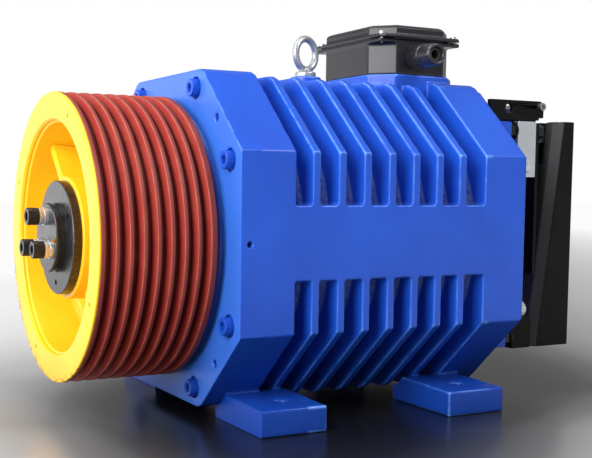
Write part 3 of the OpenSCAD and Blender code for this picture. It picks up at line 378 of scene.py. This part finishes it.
windingLook = {"wire": (0.55, 0.24, 0.09), "gap": (0.30, 0.10, 0.03), "scale": 160, "wander": 3,
               "depth": 0.0005, "rough": 0.35, "roughShift": 0.15, "metal": 0.3, "coat": 0.5,
               "coatRough": 0.2}


def windingFinish(look):
    paint = Paint("copperWinding")
    strands = paint.add("TexWave", {"wave_type": "BANDS", "bands_direction": "DIAGONAL"},
                        {"Vector": paint.place, "Scale": look["scale"], "Distortion": look["wander"],
                         "Detail": 2})
    return paint.shine({"Coat Weight": look["coat"], "Coat Roughness": look["coatRough"],
                        "Metallic": look["metal"]},
                       Base_Color=paint.blend(strands, look["gap"], look["wire"]),
                       Roughness=look["rough"] + strands * look["roughShift"],
                       Normal=paint.bump(strands, look["depth"]))


laminationLook = {"sheet": (0.32, 0.32, 0.33), "gap": (0.16, 0.16, 0.17), "scale": 320, "wander": 0.4,
                  "depth": 0.0002, "rough": 0.45, "roughShift": 0.2, "metal": 0.8}


def laminationFinish(look):
    paint = Paint("lamination")
    sheets = paint.add("TexWave", {"wave_type": "BANDS", "bands_direction": "X"},
                       {"Vector": paint.place, "Scale": look["scale"], "Distortion": look["wander"],
                        "Detail": 1})
    return paint.shine({"Metallic": look["metal"]},
                       Base_Color=paint.blend(sheets, look["gap"], look["sheet"]),
                       Roughness=look["rough"] + sheets * look["roughShift"],
                       Normal=paint.bump(sheets, look["depth"]))


liningLook = {"binder": (0.10, 0.075, 0.06), "fibre": (0.22, 0.17, 0.13), "weaveScale": 420,
              "brass": (0.6, 0.42, 0.2), "brassScale": 900, "brassFrom": (0.6, 0.68), "brassAmount": 0.6,
              "rough": 0.75, "roughShift": 0.15, "depth": 0.0003}


def liningFinish(look):
    paint = Paint("frictionLining")
    weave = paint.noise(look["weaveScale"], 4, 0.7)
    flecks = paint.between(*look["brassFrom"], paint.noise(look["brassScale"], 2)) * look["brassAmount"]
    colour = paint.blend(weave, look["binder"], look["fibre"])
    return paint.shine({}, Base_Color=paint.blend(flecks, colour, look["brass"]),
                       Roughness=look["rough"] + weave * look["roughShift"],
                       Normal=paint.bump(weave, look["depth"]))


finishes = {
    "blue_enamel": enamel("blueEnamel", blueLook),
    "shield_enamel": enamel("shieldEnamel", shieldLook),
    "black_enamel": enamel("blackEnamel", blackLook),
    "arm_enamel": enamel("armEnamel", armLook),
    "box_enamel": enamel("boxEnamel", boxLook),
    "gland_plastic": enamel("glandPlastic", glandLook),
    "yellow_enamel": yellowEnamel(yellowLook),
    "red_primer": redOxide(redLook),
    "copper_winding": windingFinish(windingLook),
    "lamination": laminationFinish(laminationLook),
    "friction_lining": liningFinish(liningLook),
    **{slot: turnedMetal({**plainMetal, **look}) for slot, look in metalLooks.items()},
    **{slot: moulded({**plainMoulding, **look}) for slot, look in mouldedLooks.items()},
}
slotOf = {sub["node"]: sub["material_slot"] for sub in frame["record"]["subparts"]}
bodyOf = {node: body for body, held in frame["record"]["behaviour"]["bodies"].items() for node in held}
finishOf = {**slotOf, "front_shield": "shield_enamel", "box_base": "box_enamel", "box_lid": "box_enamel",
            "eye_bolt": "galvanised", "gland_body": "gland_plastic",
            "brake_arm_left": "arm_enamel", "brake_arm_right": "arm_enamel",
            "brake_studs": "black_oxide", "tie_rod_left": "black_oxide", "tie_rod_right": "black_oxide"}


def dress(thing, finish):
    thing.data.materials.clear()
    thing.data.materials.append(finishes[finish])


for name, thing in nodes.items():
    dress(thing, finishOf[name])
print("finishes made:", len(finishes))


# rounds a profile: its corners are (along, reach, rounding)
def soften(corners, steps=4):
    points, eased = [Vector(corner[:2]) for corner in corners], []
    for i, here in enumerate(points):
        size = corners[i][2]
        if size == 0:
            eased.append(tuple(here))
            continue
        back, ahead = points[i - 1] - here, points[(i + 1) % len(points)] - here
        first = here + back.normalized() * min(size, back.length * 0.45)
        last = here + ahead.normalized() * min(size, ahead.length * 0.45)
        for k in range(steps + 1):
            t = k / steps
            eased.append(tuple(first * (1 - t) ** 2 + here * 2 * t * (1 - t) + last * t ** 2))
    return eased


# turns rows of (along, radius) about X; a radius may be a function of the angle
def lathe(rows, count, closed=False):
    mesh = bmesh.new()
    rings = []
    for along, radius in rows:
        if radius == 0:
            rings.append([mesh.verts.new((along * mm, 0, 0))])
            continue
        ring = []
        for k in range(count):
            angle = 2 * math.pi * k / count
            reach = radius(angle) if callable(radius) else radius
            ring.append(mesh.verts.new((along * mm, reach * mm * math.cos(angle),
                                        reach * mm * math.sin(angle))))
        rings.append(ring)
    pairs = list(zip(rings, rings[1:])) + ([(rings[-1], rings[0])] if closed else [])
    for low, high in pairs:
        for k in range(count):
            n = (k + 1) % count
            lowSide = [low[0]] if len(low) == 1 else [low[k], low[n]]
            highSide = [high[0]] if len(high) == 1 else [high[n], high[k]]
            mesh.faces.new(lowSide + highSide)
    bmesh.ops.recalc_face_normals(mesh, faces=mesh.faces)
    return mesh


# the reach of a hexagon's side at an angle, for lathe
def hexagon(half):
    return lambda a: half / math.cos((a + math.pi / 6) % (math.pi / 3) - math.pi / 6)


def onShaft(mesh):
    mesh.transform(Matrix.Translation((0, 0, shaftHeight)))
    return mesh


def asObject(name, mesh):
    data = bpy.data.meshes.new(name)
    mesh.to_mesh(data)
    mesh.free()
    thing = bpy.data.objects.new(name, data)
    scene.collection.objects.link(thing)
    return thing


def asPiece(name, mesh, slotName, body, sharp):
    return fitPiece(asObject(name, mesh), slotName, body, sharp)


def fitPiece(thing, slotName, body, sharp):
    thing.data.shade_smooth()
    thing.data.set_sharp_from_angle(angle=math.radians(sharp))
    dress(thing, slotName)
    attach(thing, body)
    return thing


# keeps the mesh that the modifiers make
def settle(thing):
    graph = bpy.context.evaluated_depsgraph_get()
    done = bpy.data.meshes.new_from_object(thing.evaluated_get(graph))
    thing.modifiers.clear()
    thing.data = done


def addWeld(thing):
    weld = thing.modifiers.new("weld", "WELD")
    weld.merge_threshold = weldReach


def cutAway(thing, tool):
    cut = thing.modifiers.new("cut", "BOOLEAN")
    cut.operation, cut.solver, cut.object = "DIFFERENCE", "EXACT", tool
    settle(thing)
    bpy.data.objects.remove(tool)


def addTo(whole, mesh, move):
    mesh.transform(move)
    data = bpy.data.meshes.new("part")
    mesh.to_mesh(data)
    mesh.free()
    whole.from_mesh(data)
    bpy.data.meshes.remove(data)


# castings: a skinned and smoothed copy gives their edges a cast fillet; voxel is the skin's step
# in mm, keep the share of its faces that stays, and joints are the flat faces where castings meet
castPlan = {
    "housing": {"name": "housingCasting", "with": ["feet"], "voxel": 2.0, "smooth": 4, "keep": 0.22,
                "joints": (-206.5, 226.5)},
    "front_shield": {"name": "frontShieldCasting", "voxel": 1.7, "smooth": 3, "keep": 0.22,
                     "joints": (-206.5,)},
    "rear_shield": {"name": "rearShieldCasting", "voxel": 2.0, "smooth": 3, "keep": 0.22,
                    "joints": (226.5,)},
    "box_base": {"name": "boxBaseCasting", "voxel": 1.4, "smooth": 3, "keep": 0.25},
    "box_lid": {"name": "boxLidCasting", "voxel": 1.3, "smooth": 3, "keep": 0.25},
    "eye_bolt": {"name": "forgedEye", "voxel": 0.7, "smooth": 8, "keep": 0.5},
    "brake_arm_left": {"name": "brakeArmLeft", "voxel": 1.5, "smooth": 2, "keep": 0.2, "shoe": -1},
    "brake_arm_right": {"name": "brakeArmRight", "voxel": 1.5, "smooth": 2, "keep": 0.2, "shoe": 1},
}

# where the feet meet the body's slopes and underside; they are sunk in, so one skin covers both
seatPlan = {"halfWidth": 236.5, "sideHalf": 119, "slope": (0.6838, -0.7296), "halfHeight": 231,
            "near": 0.1, "sink": 3}


def sinkFeet(mesh, plan):
    for vert in mesh.verts:
        y, z = abs(vert.co.y) / mm, vert.co.z / mm - shaftRise
        offSlope = (y - plan["halfWidth"]) * plan["slope"][0] + (z + plan["sideHalf"]) * plan["slope"][1]
        if min(abs(offSlope), abs(z + plan["halfHeight"])) < plan["near"]:
            vert.co.y -= math.copysign(plan["sink"] * mm, vert.co.y)
            vert.co.z += plan["sink"] * mm


# joint faces stay flat and sharp: a casting is skinned a little too long, then cut back
jointPlan = {"near": 0.05, "stretch": 5, "trim": 5.6, "reach": 420, "bore": 199.5, "sharp": 50}


def stretchEnds(mesh, joints, plan):
    middle = sum(v.co.x for v in mesh.verts) / len(mesh.verts) / mm
    for vert in mesh.verts:
        for joint in joints:
            if abs(vert.co.x / mm - joint) < plan["near"]:
                vert.co.x += math.copysign(plan["stretch"] * mm, joint - middle)
    return middle


def trimEnds(thing, joints, middle, plan):
    for joint in joints:
        far = joint + math.copysign(plan["trim"], joint - middle)
        rows = [(joint, plan["reach"]), (far, plan["reach"]), (far, plan["bore"]), (joint, plan["bore"])]
        cutAway(thing, asObject("ring", onShaft(lathe(rows, 96, closed=True))))


# the block behind each brake lining, its inner side as round as the drum
shoePlan = {"reach": 112.4, "top": 113, "inner": 72.5, "innerFoot": 86.5, "outer": 118,
            "front": 361.2, "lean": 0.1278, "back": 416.3, "arcStep": 5, "arcPoints": 10}


def shoeBlock(side, plan):
    mesh = bmesh.new()
    arc = [math.radians(plan["arcStep"] * k) for k in range(plan["arcPoints"])]
    loop = [(plan["outer"], 0)] + [(plan["reach"] * math.cos(a), plan["reach"] * math.sin(a)) for a in arc]
    loop += [(plan["inner"], plan["innerFoot"]), (plan["inner"], plan["top"]), (plan["outer"], plan["top"])]
    ends = [[mesh.verts.new(((x + lean * z) * mm, side * y * mm, (z + shaftRise) * mm)) for y, z in loop]
            for x, lean in ((plan["front"], plan["lean"]), (plan["back"], 0))]
    mesh.faces.new(ends[0])
    mesh.faces.new(ends[1][::-1])
    for k in range(len(loop)):
        n = (k + 1) % len(loop)
        mesh.faces.new((ends[0][k], ends[1][k], ends[1][n], ends[0][n]))
    bmesh.ops.recalc_face_normals(mesh, faces=mesh.faces)
    return mesh


def castCopy(node, plan):
    joints, others = plan.get("joints", ()), plan.get("with", ())
    whole = bmesh.new()
    whole.from_mesh(nodes[node].data)
    for other in others:
        mesh = bmesh.new()
        mesh.from_mesh(nodes[other].data)
        sinkFeet(mesh, seatPlan)
        addTo(whole, mesh, Matrix.Identity(4))
    if "shoe" in plan:
        addTo(whole, shoeBlock(plan["shoe"], shoePlan), Matrix.Identity(4))
    middle = stretchEnds(whole, joints, jointPlan)
    thing = asObject(plan["name"], whole)
    addWeld(thing)
    remesh = thing.modifiers.new("skin", "REMESH")
    remesh.mode, remesh.voxel_size, remesh.adaptivity = "VOXEL", plan["voxel"] * mm, 0
    smooth = thing.modifiers.new("ease", "SMOOTH")
    smooth.factor, smooth.iterations = 0.5, plan["smooth"]
    fewer = thing.modifiers.new("fewer", "DECIMATE")
    fewer.decimate_type, fewer.ratio = "COLLAPSE", plan["keep"]
    settle(thing)
    trimEnds(thing, joints, middle, jointPlan)
    thing.data.shade_smooth()
    if joints:
        thing.data.set_sharp_from_angle(angle=math.radians(jointPlan["sharp"]))
    even = thing.modifiers.new("even", "WEIGHTED_NORMAL")
    even.mode, even.weight, even.keep_sharp = "FACE_AREA", 50, True
    dress(thing, finishOf[node])
    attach(thing, bodyOf[node])
    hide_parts(node, *others)
    print("cast piece", plan["name"], len(thing.data.polygons))


for node, plan in castPlan.items():
    castCopy(node, plan)

# the rope sheave, turned about the shaft; its section is (face, along, reach, rounding)
sheavePlan = {
    "front": -409.0, "back": -249.0, "radius": 200.0, "segments": 240, "sharp": 40,
    "pitch": 18.5, "count": 8, "mouth": 6.4, "lip": 0.3, "depth": 9.4, "waist": (0.78, 0.62),
    "undercut": 2.3, "undercutDepth": 3, "flange": 2.5, "rimGap": 0.05, "rimInner": 174.03,
    "holeCircle": 180, "holeRadius": 3.3, "holeDepth": 4.9, "firstHole": 25, "holes": 4,
    "section": (("front", 0, 164, 1.2), ("front", 0, 199.2, 0.4), ("front", 0.8, 200, 0.4),
                ("front", 2.5, 200, 0), ("front", 2.5, 174, 0.2), ("back", 0, 174, 0), ("back", 0, 152, 1),
                ("front", 95, 148, 6), ("front", 95, 89, 10), ("back", -10, 80, 2), ("back", -10, 45.03, 0),
                ("front", 19.5, 45.03, 0), ("front", 19.5, 85, 2.5), ("front", 72, 88, 4),
                ("front", 77, 93, 4), ("front", 77, 146, 6), ("front", 69, 153, 6),
                ("front", 8, 158.5, 1.5), ("front", 7, 161.5, 1.0), ("front", 3.5, 161.5, 1.0)),
}


def makeRopeRim(plan):
    start, back = plan["front"] + plan["flange"], plan["back"]
    top, inner = plan["radius"], plan["rimInner"]
    first = plan["front"] + (back - plan["front"] - (plan["count"] - 1) * plan["pitch"]) / 2
    mouth, lip, cut = plan["mouth"], plan["lip"], plan["undercut"]
    waist, waistReach = mouth * plan["waist"][0], top - plan["depth"] * plan["waist"][1]
    seat, root = top - plan["depth"], top - plan["depth"] - plan["undercutDepth"]
    corners = [(start, inner, 0), (start, top - plan["rimGap"], 0.3)]
    for i in range(plan["count"]):
        at = first + i * plan["pitch"]
        corners += [(at - mouth - lip, top, 1.3), (at - waist, waistReach, 2.5), (at - cut, seat, 0.6),
                    (at - cut, root, 0.4), (at + cut, root, 0.4), (at + cut, seat, 0.6),
                    (at + waist, waistReach, 2.5), (at + mouth + lip, top, 1.3)]
    corners += [(back, top, 0.8), (back, inner, 0)]
    mesh = onShaft(lathe(soften(corners), plan["segments"], closed=True))
    rim = asPiece("ropeRim", mesh, "red_primer", "rotor", plan["sharp"])
    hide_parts("groove_rim")


def makeSheaveBody(plan):
    corners = [(plan[face] + along, reach, ease) for face, along, reach, ease in plan["section"]]
    mesh = onShaft(lathe(soften(corners, 5), plan["segments"], closed=True))
    body = asPiece("sheaveBody", mesh, "yellow_enamel", "rotor", plan["sharp"])
    circle = plan["holeCircle"] * mm
    for k in range(plan["holes"]):
        turn = math.radians(plan["firstHole"] + 360 / plan["holes"] * k)
        bpy.ops.mesh.primitive_cylinder_add(
            vertices=32, radius=plan["holeRadius"] * mm, depth=plan["holeDepth"] * mm,
            location=(plan["front"] * mm, circle * math.cos(turn), shaftHeight + circle * math.sin(turn)),
            rotation=(0, math.pi / 2, 0))
        cutAway(body, bpy.context.object)
    body.data.set_sharp_from_angle(angle=math.radians(plan["sharp"]))
    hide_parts("sheave")


# two ribs on the sheave's web, outlined as (behind the front face, reach)
webPlan = {"outline": ((33, 80), (27, 156), (82, 150), (82, 84)), "halfThick": 7, "turn": 145, "count": 2,
           "easedWithin": 40, "ease": 3.5}


def makeWebRibs(plan, front):
    half = plan["halfThick"] * mm
    whole = bmesh.new()
    for k in range(plan["count"]):
        mesh = bmesh.new()
        near, far = [[mesh.verts.new(((front + x) * mm, y, reach * mm)) for x, reach in plan["outline"]]
                     for y in (-half, half)]
        mesh.faces.new(near)
        mesh.faces.new(far[::-1])
        for i in range(len(near)):
            n = (i + 1) % len(near)
            mesh.faces.new((near[i], far[i], far[n], near[n]))
        bmesh.ops.recalc_face_normals(mesh, faces=mesh.faces)
        frontX = (front + plan["easedWithin"]) * mm
        edges = [edge for edge in mesh.edges if all(v.co.x < frontX for v in edge.verts)]
        bmesh.ops.bevel(mesh, geom=edges, offset=plan["ease"] * mm, segments=4, affect="EDGES", profile=0.5)
        turn = math.radians(plan["turn"] - 360 / plan["count"] * k)
        addTo(whole, mesh, Matrix.Translation((0, 0, shaftHeight)) @ Matrix.Rotation(turn, 4, "X"))
    asPiece("sheaveWebRibs", whole, "yellow_enamel", "rotor", 50)


makeRopeRim(sheavePlan)
makeSheaveBody(sheavePlan)
makeWebRibs(webPlan, sheavePlan["front"])
print("sheave made")


# a socket head screw along X, its seat at zero and its knurled head towards -X; rows are (along, reach)
def capScrew(size, length, teeth):
    half, head, hexHalf = size / 2, size * 0.75, size * 0.37
    knurl = lambda a: head - 0.35 * (math.sin(a * teeth) > 0)
    socket = hexagon(hexHalf)
    rows = [(length, 0), (length, half - 1), (length - 1, half), (0, half), (0, head - 0.3),
            (-0.5, head - 0.1), (-0.8, knurl), (-size + 1.6, knurl), (-size + 1.3, head - 0.15),
            (-size + 0.5, head - 0.35), (-size, head - 1.1), (-size, hexHalf * 1.3), (-size + 0.7, socket),
            (-size * 0.48, socket), (-size * 0.44, 0)]
    return lathe(rows, teeth * 4)


def screwSet(name, node, spots, plan, flip=False):
    whole, spin = bmesh.new(), random.Random(name)
    facing = Matrix.Rotation(math.pi, 4, "Z") if flip else Matrix.Identity(4)
    for spot in spots:
        mesh = capScrew(plan["size"], plan["length"], plan["teeth"])
        mesh.transform(Matrix.Rotation(spin.uniform(0, 1), 4, "X"))
        addTo(whole, mesh, Matrix.Translation(Vector(spot) * mm) @ facing)
    piece = asPiece(name, whole, slotOf[node], bodyOf[node], 30)
    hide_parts(node)


shieldScrewPlan = {"size": 16, "length": 50, "teeth": 30, "front": -229, "rear": 241,
                   "quarter": ((203.5, 107), (97.5, 206))}
clampScrewPlan = {"size": 16, "length": 66, "teeth": 32, "front": -427.5, "circle": 29.5, "first": 90,
                  "count": 3}


def shieldSpots(face, plan):
    return [(plan[face], y * ySide, shaftRise + z * zSide) for y, z in plan["quarter"]
            for ySide in (-1, 1) for zSide in (-1, 1)]


def clampSpots(plan):
    turns = [math.radians(plan["first"] + 360 / plan["count"] * k) for k in range(plan["count"])]
    return [(plan["front"], plan["circle"] * math.cos(a), shaftRise + plan["circle"] * math.sin(a))
            for a in turns]


screwSet("frontShieldScrews", "front_shield_screws", shieldSpots("front", shieldScrewPlan), shieldScrewPlan)
screwSet("rearShieldScrews", "rear_shield_screws", shieldSpots("rear", shieldScrewPlan), shieldScrewPlan,
         flip=True)
screwSet("clampScrews", "clamp_screws", clampSpots(clampScrewPlan), clampScrewPlan)
print("screws made")

# the cable gland's dome nut and its hexagon nut; the dome's profile is (along, reach, rounding)
glandPlan = {"place": (137.2, -92.0, 518.7),
             "dome": ((12.4, 13.5, 0), (12.4, 16.8, 0.6), (14, 18, 0.8), (21, 18, 0.8), (23, 16.9, 0.8),
                      (25, 17.1, 0.6), (40, 16.7, 1), (46.5, 16.3, 1.5), (50, 14.8, 1.5), (50.3, 13.0, 0.8),
                      (49.4, 11.8, 0.8), (46, 10.2, 1), (36, 10.2, 0), (36, 13.5, 0)),
             "grip": (14.2, 20.8), "gripRows": (11, ((15, 18), (20, 18))), "teeth": 26, "toothDepth": 0.8,
             "nut": (-9, -4), "nutBore": 12.6, "nutHalf": 15.6}


def makeGlandNuts(plan):
    teeth, depth = plan["teeth"], plan["toothDepth"]
    toothed = lambda reach: lambda a: reach - depth * max(math.cos(a * teeth), 0) ** 2
    rows = soften(plan["dome"])
    at, more = plan["gripRows"]  # two more rows after the dome's first rounded corners
    rows[at:at] = more
    low, high = plan["grip"]
    rows = [(along, toothed(reach) if low < along < high else reach) for along, reach in rows]
    back, front = plan["nut"]
    side, bore = hexagon(plan["nutHalf"]), plan["nutBore"]
    facing = Matrix.Translation(Vector(plan["place"]) * mm) @ Matrix.Rotation(-math.pi / 2, 4, "Z")
    whole = bmesh.new()
    addTo(whole, lathe(rows, teeth * 6, closed=True), facing)
    addTo(whole, lathe([(back, bore), (back, side), (front, side), (front, bore)], 96, closed=True), facing)
    nuts = asPiece("glandNuts", whole, "gland_plastic", "frame", 40)
    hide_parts("gland_nuts")


makeGlandNuts(glandPlan)
print("gland made")

# the brake's coil springs; the first and last parts of the coil are nearly flat, as closed ends
springPlan = {"x": 401.5, "z": 416.0, "from": 90.0, "to": 50.0, "coilRadius": 8.2, "wire": 1.9,
              "turns": 8.5, "closes": 1.95, "points": 240, "endShare": 0.08, "endRise": 0.04}


def makeSpring(name, node, side, plan):
    curve = bpy.data.curves.new(name, "CURVE")
    curve.dimensions, curve.bevel_depth, curve.bevel_resolution = "3D", plan["wire"] * mm, 4
    line = curve.splines.new("POLY")
    line.points.add(plan["points"])
    low, high = plan["from"] - plan["wire"], plan["to"] + plan["wire"]
    flat, rise = plan["endShare"], plan["endRise"]
    for k in range(plan["points"] + 1):
        t = k / plan["points"]
        start, finish = min(t / flat, 1), max((t - 1 + flat) / flat, 0)
        between = min(max((t - flat) / (1 - 2 * flat), 0), 1)
        share = rise * start + (1 - 2 * rise) * between + rise * finish
        angle = 2 * math.pi * plan["turns"] * t
        line.points[k].co = ((plan["x"] + plan["coilRadius"] * math.cos(angle)) * mm,
                             side * (low + (high - low) * share) * mm,
                             (plan["z"] + plan["coilRadius"] * math.sin(angle)) * mm, 1)
    rod = bpy.data.objects.new(name, curve)
    scene.collection.objects.link(rod)
    graph = bpy.context.evaluated_depsgraph_get()
    coil = bpy.data.objects.new(name + "Coil", bpy.data.meshes.new_from_object(rod.evaluated_get(graph)))
    scene.collection.objects.link(coil)
    bpy.data.objects.remove(rod)
    fitPiece(coil, "machined_steel", "frame", 60)
    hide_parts(node)
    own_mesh(coil)


makeSpring("springLeft", "spring_left", -1, springPlan)
makeSpring("springRight", "spring_right", 1, springPlan)
print("springs made")

# a small chamfer on the edges of machined pieces, by its width
easedNodes = {"spacer_blocks": 0.8, "carrier_plate": 0.5, "release_lever": 0.9, "pivot_brackets": 1.2,
              "magnet_body": 1.0, "spring_yoke": 0.6, "switches": 0.8, "encoder_body": 0.8,
              "brake_drum": 0.6}
for name, width in easedNodes.items():
    addWeld(nodes[name])
    ease = nodes[name].modifiers.new("ease", "BEVEL")
    ease.width, ease.segments, ease.harden_normals = width * mm, 2, True
    ease.limit_method, ease.angle_limit = "ANGLE", math.radians(40)
print("edges eased")

# a pale floor with a painted shadow under the machine that leans back to the right; far off it glows like
# the white room behind it
floorPlan = {
    "size": 30, "drop": 0.0005, "turn": 26.66, "middle": (-0.018, 0.054), "half": 0.376, "deep": 1.09,
    "round": 0.05, "lean": (0.37, -0.24), "rough": 0.26, "specular": 0.4,
    "shadowReach": (0.85, 4.85), "glowReach": (1.9, 6.6), "glow": 0.97,
    "shadowTones": ((0.0225, 0.007), (0.0475, 0.011), (0.0625, 0.022), (0.0875, 0.05), (0.1, 0.088),
              (0.125, 0.14), (0.1375, 0.2), (0.1625, 0.27), (0.1875, 0.33), (0.2275, 0.41),
              (0.3625, 0.55), (0.5375, 0.70), (0.8875, 0.92)),
}


def makeFloor(plan):
    bpy.ops.mesh.primitive_plane_add(size=plan["size"], location=(0, 0, -plan["drop"]))
    floor = bpy.context.object
    floor.name = "studioFloor"
    paint = Paint("studioFloor")
    x, y, turn = paint.part("X"), paint.part("Y"), math.radians(plan["turn"])
    # painted shadow: the floor's colour darkens towards the machine, leaning to the right further back
    deep = x * math.sin(turn) + y * math.cos(turn)
    slope, start = plan["lean"]
    lean = deep.maths("MAXIMUM", deep - start, 0.0) * slope
    across = x * math.cos(turn) - y * math.sin(turn) - lean - plan["middle"][0]
    deep = deep - plan["middle"][1]
    reach = (across * across + plan["round"]) ** 0.5 / plan["half"]
    reach = reach + deep.maths("ABSOLUTE", deep) / plan["deep"]
    shadowedFloor = paint.ramp(paint.between(*plan["shadowReach"], reach), *plan["shadowTones"])
    gloss = paint.add("BsdfPrincipled", {}, {"Base Color": shadowedFloor, "Roughness": plan["rough"],
                                             "Specular IOR Level": plan["specular"]})
    glow = paint.add("Emission", {}, {"Color": (1, 1, 1), "Strength": plan["glow"]})
    seen = paint.add("LightPath", out="Is Camera Ray")
    mirrored = paint.add("LightPath", out="Is Glossy Ray")
    far = paint.between(*plan["glowReach"], reach) * seen.maths("MAXIMUM", seen, mirrored)
    mixed = paint.add("MixShader", {}, {0: far, 1: gloss, 2: glow})
    paint.add("OutputMaterial", {}, {"Surface": mixed})
    floor.data.materials.append(paint.owner)


makeFloor(floorPlan)

lampAim = Vector((0, 0, 0.25))
lampPlan = {
    "keyLeft": {"place": (-2.2, -1.1, 1.3), "size": (1.3, 1.9), "power": 74},
    "topSoft": {"place": (1.1, -1.7, 2.3), "size": (1.2, 1.2), "power": 42},
    "overHead": {"place": (-0.9, 0.4, 2.7), "size": (1.6, 1.6), "power": 34},
    "frontWash": {"place": (-2.5, 0.7, 1.2), "size": (1.4, 1.6), "power": 34},
    "backLeft": {"place": (-1.5, 2.3, 0.52), "size": (2.2, 1.0), "power": 7},
}
for name, lamp in lampPlan.items():
    data = bpy.data.lights.new(name, "AREA")
    data.shape, (data.size, data.size_y), data.energy = "RECTANGLE", lamp["size"], lamp["power"]
    light = bpy.data.objects.new(name, data)
    light.location = lamp["place"]
    light.rotation_euler = (lampAim - light.location).to_track_quat("-Z", "Y").to_euler()
    scene.collection.objects.link(light)

# a white room: full strength where it is seen, dimmer as a light on the machine
worldPlan = {"seen": 1.0, "lit": 0.30}


def makeWorld(plan):
    paint = Paint("studioWorld", "worlds")
    lit = paint.add("Background", {}, {"Color": (1, 1, 1), "Strength": plan["lit"]})
    seen = paint.add("Background", {}, {"Color": (1, 1, 1), "Strength": plan["seen"]})
    room = paint.add("MixShader", {}, {0: paint.add("LightPath", out="Is Camera Ray"), 1: lit, 2: seen})
    paint.add("OutputWorld", {}, {"Surface": room})
    scene.world = paint.owner


makeWorld(worldPlan)
print("floor and lights set")

scene.view_settings.view_transform = "Standard"
